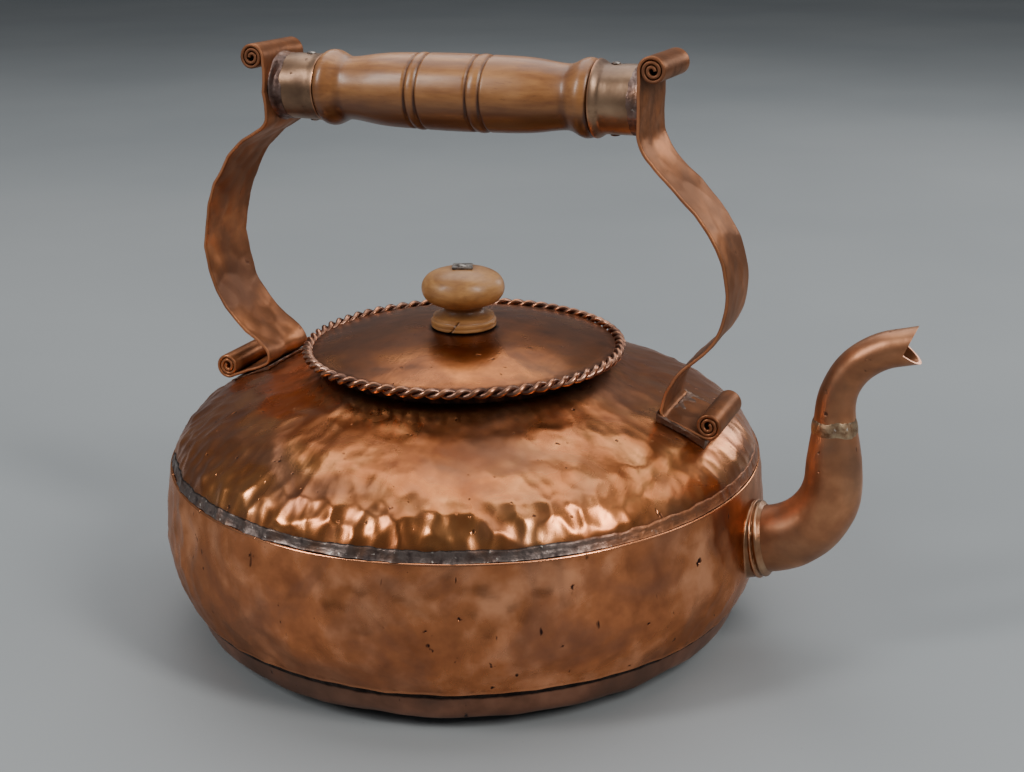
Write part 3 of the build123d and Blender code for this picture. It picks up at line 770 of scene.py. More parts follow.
def add_bowl():
    """Raised bowl with a rounded, wavy lip and the hole for the spout."""
    rounding = wall / 2
    outer = bowl_curve(lip_z - rounding, 48)
    turn = np.linspace(0, np.pi, 8)
    lip = rounding * np.stack([np.cos(turn), np.sin(turn)], -1) + (lip_radius - rounding, lip_z - rounding)
    inner = bowl_curve(lip_z - rounding, 20)[::-1] - np.array([wall, 0])
    profile = joined(outer, lip, inner)
    points, normals, faces = turned(profile, body_segments)
    row = np.arange(len(profile))[:, None]
    points = raised(points, normals, np.where(row < len(outer) + 5, 1, -1) * bowl_relief(points))
    ring = points * np.array([1, 1, 0])
    near_lip = smoothstep(points[..., 2], lip_z - 7, lip_z - 1)
    points[..., 2] += near_lip * (0.3 * noise(ring, 38, 41) - 0.3)
    # the lip's and foot's edge marks are partly rubbed wear and partly painted highlight lines
    on_lip = (row >= len(outer)) & (row < len(outer) + 6)
    edge = on_lip * (0.7 + 0.3 * noise(ring, 30, 44))
    on_foot = smoothstep(points[..., 2], foot_line_z + 1.4, foot_line_z + 0.3)
    edge = edge + on_foot * (0.4 + 0.3 * noise(ring, 25, 46))
    # painted shade of the bottom seam, darkening the bowl just above its foot
    dirt = 0.3 * smoothstep(points[..., 2], foot_line_z + 6, foot_line_z + 1) * (1 - on_foot)
    across = Vector((0, 1, 0))
    axis = Vector((facing(spout_tilt)[0], 0, facing(spout_tilt)[1]))
    upright = axis.cross(across)
    start = Vector((spout_start[0], 0, spout_start[1]))
    hole = [
        start + axis * t + (across * math.cos(a) + upright * math.sin(a)) * (spout_base_radius + 0.1)
        for t in (-12, 18) for a in full_turn(64)
    ]
    sides = grid_faces(2, 64) + [list(range(64)), list(range(64, 128))]
    mesh = cut_out("bowl", (points, faces), (hole, sides), {"edge": edge, "dirt": dirt})
    adopt("hammered_bowl", mesh, bowl_copper, "kettle", "body_lower")


def add_pan():
    """Shallow pan with a dented wall and a bottom that bulges below its lower edge."""
    edge_z = 1.2
    bottom = [(stand_radius, -base_bulge), (stand_radius + 10, -base_bulge), (pan_edge_radius - 6.5, -edge_z)]
    bottom = bezier([*bottom, (pan_edge_radius, edge_z)], 14)
    side = [(pan_edge_radius, edge_z), (pan_edge_radius + 4.2, 2.5), (pan_radius - 1.5, bowl_foot_z - 6.1)]
    side = bezier([*side, (pan_radius, bowl_foot_z)], 18)
    outer = joined(
        run((0, -base_bulge), (stand_radius, -base_bulge), step=6),
        bottom,
        side,
        run((pan_radius, bowl_foot_z), (pan_radius, pan_top_z), step=2),
    )
    inner = joined(
        run((pan_radius - wall, pan_top_z), (pan_radius - wall, bowl_foot_z), step=2),
        side[::-1] + np.array([-wall, 0.4 * wall]),
        bottom[::-3] + np.array([-0.2 * wall, wall]),
        run((stand_radius, wall - base_bulge), (0, wall - base_bulge), step=6),
    )
    points, normals, faces = turned(np.concatenate([outer, inner]), body_segments)
    z = points[..., 2]
    on_wall = smoothstep(z, -2.5, 1)
    relief = 0.45 * hammered(points, 12, 51, 7) + 0.45 * noise(points, 26, 53) - 0.3
    points = raised(points, normals, on_wall * relief)
    near_edge = smoothstep(np.abs(z - 1.5), 5, 1)
    points[..., 2] += near_edge * 0.9 * noise(points * (1, 1, 0), 15, 55)
    points[..., 2] = np.maximum(points[..., 2], -base_bulge)
    # painted shade: the pan's top under the bowl's overhang, and its lower edge and bulging bottom
    dirt = smoothstep(z, foot_line_z - 5.5, foot_line_z - 2.5) + 0.8 * smoothstep(z, 1.5, 0)
    add_piece(
        "base_pan_copper", points, faces, pan_copper, "kettle", "hammered_copper", "base_pan",
        {"dirt": dirt},
    )


def add_neck():
    """Upright sleeve that the lid drops into, with its flange under the dome."""
    top = neck_top_z
    outer_radius, inner_radius = neck_radius - 0.02, neck_radius - wall
    flange_z = neck_low_z + wall
    profile = joined(
        run((outer_radius, flange_z + 0.9), (outer_radius, top - 0.6), (outer_radius - 0.4, top - 0.1)),
        run((outer_radius - 0.75, top), (inner_radius + 0.4, top - 0.1), (inner_radius, top - 0.6)),
        run((inner_radius, neck_low_z), (neck_flange_radius, neck_low_z), (neck_flange_radius, flange_z)),
    )
    points, normals, faces = turned(profile, 240)
    points = raised(points, normals, 0.12 * noise(points, 14, 61))
    points[..., 2] = np.minimum(points[..., 2], top)
    edge = 0.7 * smoothstep(points[..., 2], top - 0.8, top - 0.2)
    # the sleeve below its rubbed top rim is painted dark: painted shade under the lid
    add_piece(
        "neck_sleeve", points, faces, lid_copper, "kettle", "hammered_copper", "neck_ring",
        {"edge": edge, "dirt": 0.75 * (1 - edge)},
    )


add_dome()
add_bowl()
add_pan()
add_neck()


def shoulder_top(angle):
    """Height of the ragged upper edge of the shoulder's solder."""
    around = round_axis(lip_radius, angle, 0)
    return solder_height + 0.8 * noise(around, 24, 71) + 0.6 * rough(around, 6, 73)


solder_run(
    "shoulder_seam", dome_surface, lambda a: 0 * a - 0.2, shoulder_top,
    [(0, 1.35), (0.2, 0.8), (0.5, 0.35), (0.86, 0.35), (0.97, 0.1), (1, 0.0)],
    band_solder, "shoulder_solder", rows=14, columns=900, seed=75, coppery=0.8,
)


# ---------------------------------------------------------------- spout

elbow_turn = spout_riser_heading - spout_tilt
spout_base_run, spout_riser_run = 11.5, 25.5
spout_lead, spout_mouth_run = 6.3, 12.2
elbow_length = math.radians(elbow_turn) * spout_elbow_radius
joint_along = spout_base_run + elbow_length + spout_riser_run
crook_length = math.radians(spout_riser_heading - spout_mouth_tilt) * spout_crook_radius
spout_route = walk(
    spout_start, spout_tilt,
    [
        (spout_base_run, 0), (elbow_length, elbow_turn), (spout_riser_run + spout_lead, 0),
        (crook_length, spout_mouth_tilt - spout_riser_heading), (spout_mouth_run, 0),
    ],
    0.5,
)
route_along = lengths_along(spout_route)
route_normals = left_normals(spout_route)
spout_end = route_along[-1]
# outside radius of the tube, as (place along the spout, radius)
elbow_radii = ((0.2, 16.0), (0.4, 15.6), (0.6, 15.0), (0.8, 14.2))
lower_radii = [
    (0, spout_base_radius), (spout_base_run, spout_base_radius),
    *((spout_base_run + share * elbow_length, radius) for share, radius in elbow_radii),
    (joint_along - 25.5, 13.4), (joint_along - 16.5, 12.6), (joint_along - 7.5, 11.4), (joint_along, 10.0),
]
crook_along = joint_along + spout_lead
upper_radii = [
    (joint_along, 9.8), (crook_along, 9.3), (crook_along + crook_length / 4, 8.8),
    (crook_along + crook_length / 2, 8.6), (spout_end, 8.6),
]


def spout_surface(along, angle, radii=lower_radii + upper_radii[1:], relief=True):
    """Points and normals of the spout's outside, along mm from the bowl; angle 0 is its back."""
    line = [np.interp(along, route_along, spout_route[:, i]) for i in (0, 1)]
    side = [np.interp(along, route_along, route_normals[:, i]) for i in (0, 1)]
    out = np.stack([side[0] * np.cos(angle), np.sin(angle) + 0 * along, side[1] * np.cos(angle)], -1)
    centre = np.stack([line[0], 0 * line[0], line[1]], -1)
    radius = np.interp(along, [a for a, _ in radii], [r for _, r in radii])
    points = raised(centre, out, radius)
    if relief:
        fade = smoothstep(along, 8, 26)
        dents = 0.3 * hammered(points, 11, 81, 6) + 0.14 * rough(points, 16, 83)
        points = raised(points, out, fade * dents - 0.03)
    return points, out


def tube_shell(start, end, radii, segments, step=0.9):
    """Outer and inner faces of a length of the spout, closed at its ends."""
    angle = full_turn(segments)[None, :]
    along = np.linspace(start, end, round((end - start) / step))[:, None] + 0 * angle
    outer, out = spout_surface(along, angle, radii)
    inner = spout_surface(along[::3], angle, radii, relief=False)[0] - out[::3] * spout_wall
    vertices = np.concatenate([outer, inner[::-1]])
    return vertices, grid_faces(len(vertices), segments, close_rows=True)


def add_spout():
    """Riser, and a crook whose mouth is an open beak: a wedge is cut out of it."""
    riser = tube_shell(0, joint_along - 0.2, lower_radii, 120)
    add_piece("spout_riser", *riser, spout_copper, "kettle", "spout_copper", "spout_lower")

    crook = tube_shell(joint_along, spout_end, upper_radii, 120, 0.7)
    mouth = spout_route[-1]
    corner = mouth - (7.4, 3.7)
    reach, width = 24, 30
    upper, lower = facing(67), facing(-35)
    wedge = np.array([corner, corner + reach * upper, corner + reach * lower])
    cutter = [(x, y, z) for y in (-width, width) for x, z in wedge]
    cutter_faces = [[0, 1, 2], [3, 5, 4], [0, 3, 4, 1], [1, 4, 5, 2], [2, 5, 3, 0]]
    mesh = cut_out("beak", crook, (cutter, cutter_faces))
    place = (np.array([v.co for v in mesh.vertices]) / MM - lift)[:, [0, 2]] - corner
    on_cut = [np.abs(place @ np.array([-d[1], d[0]])) < 0.06 for d in (upper, lower)]
    on_mouth = np.abs((place + corner - mouth) @ facing(spout_mouth_tilt)) < 0.06
    rubbed = (on_cut[0] | on_cut[1] | on_mouth) & (place[:, 0] > -0.1)
    set_marks(mesh, {"edge": 0.3 * rubbed})
    adopt("spout_crook", mesh, spout_copper, "kettle", "spout_upper")


def ragged(place, reach, seed, size=4.0):
    """An edge about place along the spout, uneven by reach."""
    def edge(angle):
        return place + reach * rough(round_axis(10, angle, 0), size, seed)
    return edge


def add_collar():
    """Collar with two raised beads, its foot following the bowl's face."""
    count = 160
    angle = full_turn(count)[None, :]
    level, rise = facing(spout_tilt)
    axis, upright = np.array([level, 0, rise]), np.array([-rise, 0, level])
    start = np.array([spout_start[0], 0, spout_start[1]])

    def at(along, radius):
        spoke = np.cos(angle)[..., None] * upright + np.sin(angle)[..., None] * np.array([0, 1, 0])
        return start + along[..., None] * axis + radius[..., None] * spoke

    bowl = bowl_curve(lip_z, 60)
    foot = np.full(angle.shape, 3.0)
    for _ in range(12):
        spot = at(foot, np.full(angle.shape, 19.0))
        foot = foot - (axis_distance(spot) - np.interp(spot[..., 2], bowl[:, 1], bowl[:, 0]) + 0.5)
    # (place along the spout, radius), over the two beads
    outline = [
        (0, 19.6), (0.8, 18.9), (1.6, 18.6), (4.4, 18.4), (4.9, 18.8), (5.6, 19.15), (6.3, 18.8),
        (6.9, 17.9), (7.5, 18.1), (8.6, 18.55), (9.6, 18.1), (10.4, 17.2), (11.2, 16.3),
    ]
    shares = np.linspace(0, 1, 44)[:, None]
    along = foot + shares * (outline[-1][0] - foot)
    reach = np.interp(along - foot * (1 - shares) ** 3, [a for a, _ in outline], [r for _, r in outline])
    points = at(along, reach)
    lumps = 0.12 * rough(points, 6, 93) + 0.1 * hammered(points, 4, 95)
    points = points + lumps[..., None] * (points - start) / 20
    inner = at(along[::8][::-1], np.full(angle.shape, spout_base_radius + 0.05) + 0 * along[::8])
    vertices = np.concatenate([points, inner])
    edge = np.concatenate([0.35 * smoothstep(reach, 18.6, 19.1), 0 * along[::8]])
    add_piece(
        "spout_foot_collar", vertices, grid_faces(len(vertices), count, close_rows=True), collar_copper,
        "kettle", "solder", "spout_collar", {"edge": edge},
    )


add_spout()
add_collar()
solder_run(
    "spout_joint_seam", spout_surface, ragged(joint_along - 3.6, 0.9, 84), ragged(joint_along + 3.0, 0.9, 87),
    [(0, 0.0), (0.12, 0.25), (0.45, 0.55), (0.7, 0.5), (0.92, 0.2), (1, 0.0)],
    brassy_solder, "spout_joint_solder", rows=18, columns=144, seed=88, lump=0.14, upper_edge_darkening=0.4,
)


# ---------------------------------------------------------------- handle straps

front_bow = [
    (strap_inner_x + strap_thickness / 2, 248), (105.0, 231.8), (124.5, 212.5), (137.2, 190.0),
    (139.3, 172.0), (134.0, 154.5), (117.0, 136.5), (109.5, 119.2),
]
rear_bow = [
    (strap_inner_x + strap_thickness / 2, 247), (108.0, 236.0), (124.5, 219.5), (134.5, 197.0),
    (137.6, 174.0), (130.5, 150.0), (113.5, 131.8), (104.2, 121.7),
]


def scroll_moves(turn):
    """Half turns of falling radius that roll the sheet up."""
    radii = [scroll_radius - scroll_shrink * i for i in range(scroll_half_turns)]
    return [(math.pi * radius, turn) for radius in radii]


def strap_path(bow, foot_slope, foot_length):
    """The strap's middle line as (distance from the kettle's axis, height), from top to foot."""
    knee = bow[0]
    top = walk(knee, 90, [(strap_top_z - knee[1], 0), *scroll_moves(-180)], 0.7)
    middle = spline(bow, (0, -1), facing(bend_heading), 190)
    bend_turn = foot_slope - bend_heading
    moves = [(math.radians(bend_turn) * bend_radius, bend_turn), (foot_length, 0), *scroll_moves(180)]
    return joined(top[::-1], middle, walk(bow[-1], bend_heading, moves, 0.7))


def add_strap(name, node, side, bow, foot_slope, foot_length, depth, seed):
    """Hammered strip with rolled ends, its edges rubbed bright."""
    path = strap_path(bow, foot_slope, foot_length)
    normal = left_normals(path)
    along = lengths_along(path)
    scroll_length = sum(length for length, _ in scroll_moves(180))
    free = smoothstep(along, scroll_length - 12, scroll_length + 6)
    free = free * smoothstep(along, along[-1] - scroll_length + 12, along[-1] - scroll_length - 6)

    # the strip's cross-section, once round: places across it, and heights off its middle
    half, rounding = strap_width / 2, 0.55
    turn = np.linspace(np.pi / 2, -np.pi / 2, 6)
    edge_y = half - rounding + rounding * np.cos(turn)
    edge_n = strap_thickness / 2 * np.sin(turn)
    flat = np.linspace(-half + rounding, half - rounding, 34)[1:-1]
    face_n = np.full(len(flat), strap_thickness / 2)
    across = np.concatenate([flat, edge_y, flat[::-1], -edge_y])
    offset = np.concatenate([face_n, edge_n, -face_n, edge_n[::-1]])[:, None]
    on_edge = np.tile(np.concatenate([0 * flat, np.sin(np.linspace(0, np.pi, 6))]), 2)

    ridge = np.stack([path[:, 0], 0 * along, path[:, 1]], -1)[:, None, :]
    out = np.stack([normal[:, 0], 0 * along, normal[:, 1]], -1)[:, None, :]
    shift = np.array([700.0 * side, 0, 0])
    width = 1 + 0.012 * noise(ridge + shift, 22, seed)
    points = ridge + out * offset + np.array([0, 1, 0]) * (across * width)[..., None]
    seat = points - out * offset + shift
    marks = depth * hammered(seat, 10, seed + 1, 8) + 0.5 * noise(seat, 45, seed + 2)
    free = free[:, None]
    points = raised(points, out, marks * free)
    ragged_edge = 0.25 * rough(ridge + shift, 9, seed + 3) * np.sign(across) * (np.abs(across) > half - 1)
    points[..., 1] += ragged_edge * (0.3 + 0.7 * free)
    points[..., 0] *= side
    columns = len(across)
    faces = grid_faces(len(path), columns)
    faces += [list(range(columns)), list(range((len(path) - 1) * columns, len(path) * columns))]
    wear = 0.5 + 0.5 * noise(seat, 18, seed + 5)
    edge = on_edge * (0.15 + 0.4 * wear) * (0.4 + 0.6 * free)
    near_grip = smoothstep(np.abs(path[:, 1] - grip_z), 30, 12)[:, None]
    dirt = near_grip * 0.3 + 0.4 * (1 - free) * on_edge
    add_piece(
        name, points, faces, strap_copper, "kettle", "strap_copper", node, {"edge": edge, "dirt": dirt}
    )


add_strap("strap_spout_side", "strap_front", 1, front_bow, -20.5, 19.4, 0.8, 101)
add_strap("strap_far_side", "strap_rear", -1, rear_bow, -23.0, 22.4, 1.4, 121)
for way in ("front", "rear"):
    lumpy_copy(
        f"foot_solder_{way}", f"foot_seam_{way}", 0.6, 0.25, 4.5, 0.25, foot_solder, 141
    )


# ---------------------------------------------------------------- ferrules and grip


def end_shift(side):
    """Keeps the noise of the two ends apart."""
    return np.array([300.0 * side, 0, 0])


def add_ferrule(name, node, side, flare_radius):
    """Copper tube over one end of the grip, dented and with a rubbed mouth."""
    mouth, settle = ferrule_mouth_x, ferrule_mouth_x + 4.6
    flare = [(flare_radius, mouth), (flare_radius, mouth + 1.5), (ferrule_radius, settle - 1.5)]
    flare = bezier([*flare, (ferrule_radius, settle)], 12)
    outer = joined(flare, run((ferrule_radius, settle), (ferrule_radius, strap_inner_x - 0.1)))
    lip = np.array([(flare_radius - 0.15, mouth), (flare_radius - ferrule_wall + 0.15, mouth)])
    inner = outer[::-1] - np.array([ferrule_wall, 0])
    profile = np.concatenate([outer, inner, lip[::-1]])
    points, normals, faces = turned(profile, 128)
    seat = points + end_shift(side)
    on_outside = (np.arange(len(profile)) < len(outer))[:, None]
    dents = 0.3 * hammered(seat, 11, 151, 6) + 0.12 * noise(seat, 7, 153)
    points = raised(points, normals, on_outside * (dents - 0.05))
    points[..., 2] = side * np.minimum(np.maximum(points[..., 2], mouth), strap_inner_x - 0.05)
    edge = 0.3 * smoothstep(np.abs(points[..., 2]), mouth + 1.0, mouth + 0.2)
    # painted shade in the crease between the flared mouth and the grip's bead
    dirt = 0.3 * smoothstep(np.abs(points[..., 2]), settle + 2, settle - 1) * (1 - edge)
    add_piece(
        name, on_grip_axis(points), faces, ferrule_copper, "kettle", "strap_copper", node,
        {"edge": edge, "dirt": dirt},
    )


def ferrule_surface(side):
    """Gives the function of a ferrule's outside, along mm from its strap."""
    def surface(along, angle):
        spoke = np.stack([0 * angle, np.sin(angle), np.cos(angle)], -1)
        centre = np.stack([side * (strap_inner_x - along), 0 * along, grip_z + 0 * along], -1)
        return spoke * ferrule_radius + centre, spoke
    return surface


add_ferrule("ferrule_spout_side", "ferrule_front", 1, 18.3)
add_ferrule("ferrule_far_side", "ferrule_rear", -1, 16.6)
for side, way in ((1, "front"), (-1, "rear")):
    solder_run(
        f"ferrule_seam_{way}", ferrule_surface(side), lambda a: 0 * a, ragged(6.0, 1.8, 161 + side, 7),
        [(0, 0.9), (0.1, 0.35), (0.3, 0.12), (0.8, 0.08), (1, 0.0)],
        ferrule_solder, f"ferrule_solder_{way}", rows=16, columns=160, seed=163 + side, lump=0.08,
        upper_edge_darkening=0.2,
    )


def add_grip():
    """Turned handle: a bead at each end, a swelling middle, and two pairs of turned grooves."""
    tenon_radius = ferrule_radius - ferrule_wall - 0.05
    shoulder_x, tenon_end_x, neck_x = ferrule_mouth_x - 0.1, strap_inner_x - 3, 57.0
    # (radius, place along the grip), from the spout's end to the middle
    bead = [
        (tenon_radius, shoulder_x), (tenon_radius + 1.9, shoulder_x - 0.9), (bead_radius, 66.2),
        (grip_neck_radius + 0.9, 60.6), (grip_neck_radius, neck_x),
    ]
    swell = [(grip_neck_radius, neck_x), (16.85, 44.0), (grip_radius - 0.3, 22.0), (grip_radius, 0.0)]
    half = joined(
        run((0, tenon_end_x), (tenon_radius, tenon_end_x), (tenon_radius, shoulder_x), step=2),
        spline(bead, (1, -0.2), (0, -1), 46),
        spline(swell, (0, -1), (0, -1), 130),
    )
    other = half[::-1][1:] * np.array([1, -1])
    profile = np.concatenate([half, other])[::-1]
    points, normals, faces = turned(profile, 120, closed=False)
    x = points[..., 2]
    depth, dirt = 0 * x, 0 * x
    for groove in (-20.8, -15.4, 11.0, 17.7):
        notch = np.exp(-(((x - groove) / 0.75) ** 2))
        depth -= 0.85 * notch
        dirt += 0.85 * notch
    for middle in (-18.1, 14.35):
        depth += 0.3 * np.exp(-(((x - middle) / 1.7) ** 2))
    depth += 0.16 * noise(points * (1, 1, 0.4), 16, 171)
    # painted shade at the ferrule's mouth, in the crease beside the bead
    dirt += 0.6 * smoothstep(np.abs(x), shoulder_x - 2.5, shoulder_x)
    dirt += 0.25 * smoothstep(np.abs(np.abs(x) - 58.5), 3.5, 0.5)
    # painted shade: the grip darkened towards its underside
    dirt += 0.8 * smoothstep(points[..., 0], -0.35 * grip_radius, 0.6 * grip_radius)
    points = raised(points, normals, depth * (np.abs(x) < shoulder_x - 0.3))
    add_piece(
        "grip_turned", on_grip_axis(points), faces, grip_wood, "kettle", "grip_wood", "grip", {"dirt": dirt}
    )


def add_nails():
    """Domed nail heads over and under each ferrule, a little battered."""
    head_radius, head_height = 2.3, 0.8
    turn = np.linspace(0, np.pi / 2, 9)
    dome = np.stack([head_radius * np.cos(turn), head_height * np.sin(turn)], -1)
    profile = joined(run((0, -1.2), (0.9, -1.2), (head_radius * 0.98, -0.1), step=0.4), dome)
    points, normals, faces = turned(profile, 28, closed=False)
    vertices, all_faces = [], []
    for side in (1, -1):
        for up in (1, -1):
            head = raised(points, normals, 0.12 * rough(points + side * 40 + up * 90, 2.2, 181))
            seat = np.array([side * nail_x, 0, grip_z + up * (ferrule_radius + 0.05)])
            head = head * np.array([1, up, up]) + seat
            all_faces += [[i + len(vertices) * points[..., 0].size for i in face] for face in faces]
            vertices.append(head.reshape(-1, 3))
    vertices = np.concatenate(vertices)
    add_piece("nail_heads", vertices, all_faces, fixing_iron, "kettle", "fixing_iron", "ferrule_nails")


add_grip()
add_nails()


# ---------------------------------------------------------------- lid


def lid_height(radius):
    """Height of the lid's upper face."""
    return lid_rim_z + lid_rise * (1 - (radius / lid_radius) ** 2)


def add_lid_disc():
    """Slightly domed sheet with shallow dents, flat under the knob."""
    radii = np.linspace(0, lid_radius, 62)
    upper = np.stack([radii, lid_height(radii)], -1)
    lower = upper[::-3] - np.array([0, lid_sheet])
    points, _, faces = turned(np.concatenate([lower[::-1], upper[::-1]]), 360)
    spread = axis_distance(points)
    warp = 0.55 * hammered(points * (1, 1, 0.2), 26, 201, 6) + 0.4 * noise(points, 40, 203)
    flat = smoothstep(spread, knob_foot_radius + 1, knob_foot_radius + 9)
    points[..., 2] += flat * warp * smoothstep(spread, lid_radius, lid_radius - 6)
    near_knob = smoothstep(spread, knob_foot_radius + 5, knob_foot_radius - 1)
    dirt = 0.8 * near_knob + 0.55 * smoothstep(spread, lid_radius - 7, lid_radius - 1)
    add_piece("lid_sheet", points, faces, lid_copper, "lid", "lid_copper", "lid_disc", {"dirt": dirt})


def add_rope():
    """Two wires twisted round each other along the lid's rim."""
    wire = rope_thickness / 4
    steps, around = rope_turns * 22, 12
    angle, turn = full_turn(steps), full_turn(around)
    strands, faces, rubs = [], [], []
    for strand in (0, 1):
        twist = rope_turns * angle + strand * np.pi
        uneven = 1 + 0.04 * noise(round_axis(80, angle, 50.0 * strand), 9, 211)
        reach, rise = np.cos(twist) * wire, np.sin(twist) * wire
        centre = round_axis(rope_radius + reach, angle, lid_rim_z + rise)
        ahead = np.roll(centre, -1, 0) - np.roll(centre, 1, 0)
        ahead /= np.linalg.norm(ahead, axis=1, keepdims=True)
        spoke = round_axis(np.cos(twist), angle, np.sin(twist))
        aside = np.cross(ahead, spoke)
        spoke = np.cross(aside, ahead)
        ring = np.cos(turn)[None, :, None] * spoke[:, None] + np.sin(turn)[None, :, None] * aside[:, None]
        strands.append(centre[:, None] + ring * (wire * uneven)[:, None, None])
        rubs.append(0.5 * smoothstep(np.cos(turn), 0.55, 1.0)[None, :] * (0.4 + 0.6 * (uneven[:, None] > 1)))
        wire_faces = grid_faces(steps, around, close_rows=True)
        faces += [[i + strand * steps * around for i in face] for face in wire_faces]
    edge = np.stack(rubs)
    add_piece(
        "lid_twisted_wire", np.concatenate(strands), faces, rope_copper, "lid", "lid_copper", "lid_rope",
        {"edge": edge, "dirt": 0.2 + 0 * edge}, sharp=70,
    )


def add_sleeve():
    """Sleeve under the lid that locates it in the neck."""
    top, low = lid_height(sleeve_radius) - lid_sheet - 0.05, sleeve_low_z
    inner_radius = sleeve_radius - lid_sheet
    profile = joined(
        run((sleeve_radius, low + 0.5), (sleeve_radius, top)),
        run((inner_radius, top), (inner_radius, low + 0.5)),
        run((sleeve_radius - 0.9, low), (sleeve_radius - 0.3, low)),
    )
    points, normals, faces = turned(profile, 240)
    points = raised(points, normals, 0.1 * noise(points, 18, 221))
    marks = {"dirt": np.full(points.shape[:2], 0.3)}
    add_piece("lid_inner_sleeve", points, faces, lid_copper, "lid", "lid_copper", "lid_sleeve", marks)


def add_knob():
    """Turned knob with a stepped foot, a narrow waist and a crack in the foot."""
    z0, top, foot = knob_low_z, knob_top_z, knob_foot_radius
    # (radius, height): the stepped foot, then the waist and the round head
    step = [
        (foot - 0.6, z0), (foot, z0 + 0.6), (foot, z0 + 3.6),
        (foot - 0.9, z0 + 4.6), (foot - 1.1, z0 + 6.0),
    ]
    head = [
        step[-1], (11.2, z0 + 7.2), (9.8, z0 + 9.0), (12.6, z0 + 11.4), (17.8, z0 + 13.8),
        (20.2, z0 + 16.8), (20.9, z0 + 20.3), (19.0, z0 + 25.0), (13.0, top - 1.6), (5.0, top),
    ]
    profile = joined(
        run((0, z0), step[0], step=1),
        run(*step, step=0.35),
        spline(head, (-1, 0.35), (-1, 0.12), 110),
        run(head[-1], (0, top)),
    )
    points, normals, faces = turned(profile, 220, closed=False)
    z = points[..., 2]
    angle = np.arctan2(points[..., 1], points[..., 0])
    crack_angle = math.radians(-91) + 0.048 * (z - z0) - 0.05 * noise(points, 2.4, 231)
    crack = np.exp(-((angle - crack_angle) * foot / 0.42) ** 2) * smoothstep(z, z0 + 6.4, z0 + 5.2)
    depth = -0.7 * crack + 0.12 * noise(points * (1, 1, 0.5), 13, 233) - 0.1 * hammered(points, 5, 235)
    rings = sum(np.exp(-(((z - z0 - at) / 0.28) ** 2)) for at in (2.1, 4.3))
    points = raised(points, normals, depth - 0.16 * rings)
    points[..., 2] = np.minimum(points[..., 2], top)
    waist = smoothstep(np.abs(z - z0 - 9.0), 3.8, 1.0)
    spread = axis_distance(points)
    dirt = np.clip(crack + 0.5 * waist + 0.35 * rings + 0.55 * smoothstep(z, z0 + 1.2, z0), 0, 1)
    dirt = dirt + 0.4 * smoothstep(spread, 9, 5) * (z > z0 + 25)
    add_piece("knob_turned", points, faces, knob_wood, "lid", "knob_wood", "knob", {"dirt": dirt})


def add_knob_fixings():
    """Square washer with bevelled, battered edges, and the pin riveted over it."""
    low_z, high_z = node_box("knob_washer")[0][2], node_box("knob_washer")[1][2]
    bm = bmesh.new()
    bmesh.ops.create_cube(bm, size=1)
    bmesh.ops.scale(bm, vec=Vector((washer_side, washer_side, high_z - low_z)), verts=bm.verts)
    turn = Matrix.Rotation(math.radians(washer_turn), 3, "Z")
    bmesh.ops.rotate(bm, cent=(0, 0, 0), matrix=turn, verts=bm.verts)
    bmesh.ops.translate(bm, vec=Vector((0, 0, (high_z + low_z) / 2)), verts=bm.verts)
    bmesh.ops.bevel(bm, geom=bm.edges, offset=0.28, segments=3, affect="EDGES")
    bmesh.ops.subdivide_edges(bm, edges=bm.edges, cuts=3, use_grid_fill=True)
    mesh = bpy.data.meshes.new("washer")
    bm.to_mesh(mesh)
    bm.free()
    co = np.array([v.co for v in mesh.vertices])
    co[:, 2] += 0.1 * rough(co, 4, 241) * (co[:, 2] > low_z + 0.2)
    co[:, :2] += 0.12 * noise(co, 5, 243)[:, None]
    mesh.vertices.foreach_set("co", in_frame(co).ravel())
    adopt("washer_square", mesh, fixing_iron, "lid", "knob_washer")

    head, height = pin_radius + pin_head_spread, pin_head_height
    turn = np.linspace(0, np.pi / 2, 8)
    cap = np.stack([head * np.cos(turn), height * np.sin(turn)], -1)
    profile = joined(
        (cap * np.array([1, -1]))[::-1] + np.array([0, pin_low_z + height]),
        run((pin_radius, pin_low_z + height), (pin_radius, pin_top_z - height), step=4),
        cap + np.array([0, pin_top_z - height]),
    )
    points, normals, faces = turned(profile, 32, closed=False)
    battered = 0.14 * rough(points, 2.0, 245) * (np.abs(points[..., 2] - pin_top_z) < 1)
    points = raised(points, normals, battered)
    points[..., 2] = np.clip(points[..., 2], pin_low_z, pin_top_z)
    add_piece("pin_riveted", points, faces, fixing_iron, "lid", "fixing_iron", "knob_pin")


add_lid_disc()
add_rope()
add_sleeve()
add_knob()
add_knob_fixings()

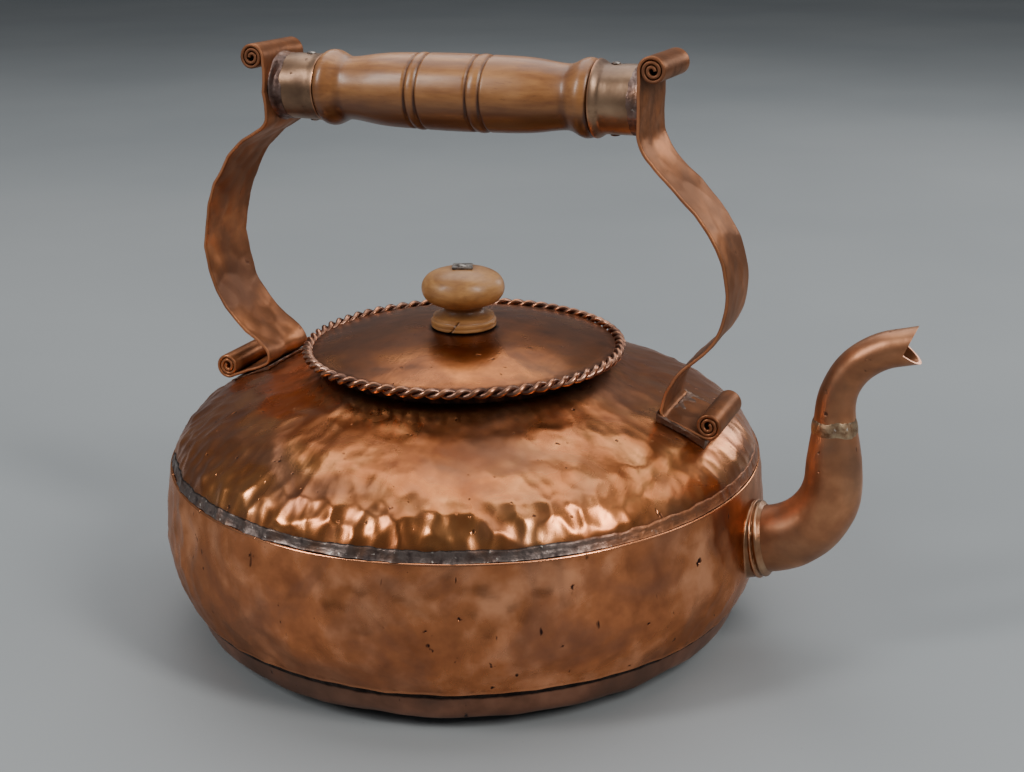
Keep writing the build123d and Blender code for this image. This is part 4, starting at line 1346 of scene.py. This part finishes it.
# parts inside the kettle and under the lid that keep their CAD shape
for node, look in (("base_seam_solder", seam_solder_painted_shade), ("backing_washer", fixing_iron)):
    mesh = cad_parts[node].data
    mesh.materials.clear()
    mesh.materials.append(look)


# ---------------------------------------------------------------- floor and light


def add_floor():
    """Plain round grey floor, kept out of the object."""
    look = Look("floor_paint", 0.0, 0.6)
    tone = look.ramp(look.noise(900, 4), (0.35, (132, 137, 140)), (0.65, (144, 148, 150)))
    speck = look.span(look.noise(5, 2, shift=9.0), 0.76, 0.8, 0.0, 0.35)
    look.finish(look.mix(speck, tone, (120, 118, 114)), None, look.bump(look.noise(40, 4), 0.15))
    bm = bmesh.new()
    bmesh.ops.create_circle(bm, cap_ends=True, segments=96, radius=9)
    mesh = bpy.data.meshes.new("floor")
    bm.to_mesh(mesh)
    bm.free()
    mesh.materials.append(look.material)
    new_object("floor", mesh)


def add_soft_light(name, azimuth, elevation, distance, size, power, tint=(1, 1, 1)):
    """A rectangular softbox that faces the kettle, distance and size in metres."""
    way = seen_from(azimuth, elevation)
    light = new_object(name, bpy.data.lights.new(name, "AREA"))
    light.data.shape = "RECTANGLE"
    light.data.size, light.data.size_y = size
    light.data.energy = power
    light.data.color = tint
    place = way * distance + Vector((0, 0, 0.12))
    light.matrix_world = Matrix.Translation(place) @ way.to_track_quat("Z", "Y").to_matrix().to_4x4()


add_floor()
add_soft_light("left_window", -42, 37, 1.9, (0.3, 0.9), 18, (1, 0.98, 0.96))
add_soft_light("right_window", 70, 39, 1.9, (0.34, 0.9), 22, (1, 0.97, 0.93))
add_soft_light("side_window", 120, 36, 2.0, (0.6, 0.6), 3)
add_soft_light("back_window", 155, 18, 2.0, (0.5, 0.6), 5)
add_soft_light("overhead", 190, 70, 2.4, (2.8, 2.2), 42)
add_soft_light("behind", 204, 40, 2.6, (1.1, 0.5), 4)

world = bpy.data.worlds.new("studio")
world.use_nodes = True
background = world.node_tree.nodes["Background"]
background.inputs["Color"].default_value = (0.42, 0.44, 0.46, 1)
background.inputs["Strength"].default_value = 0.4
bpy.context.scene.world = world
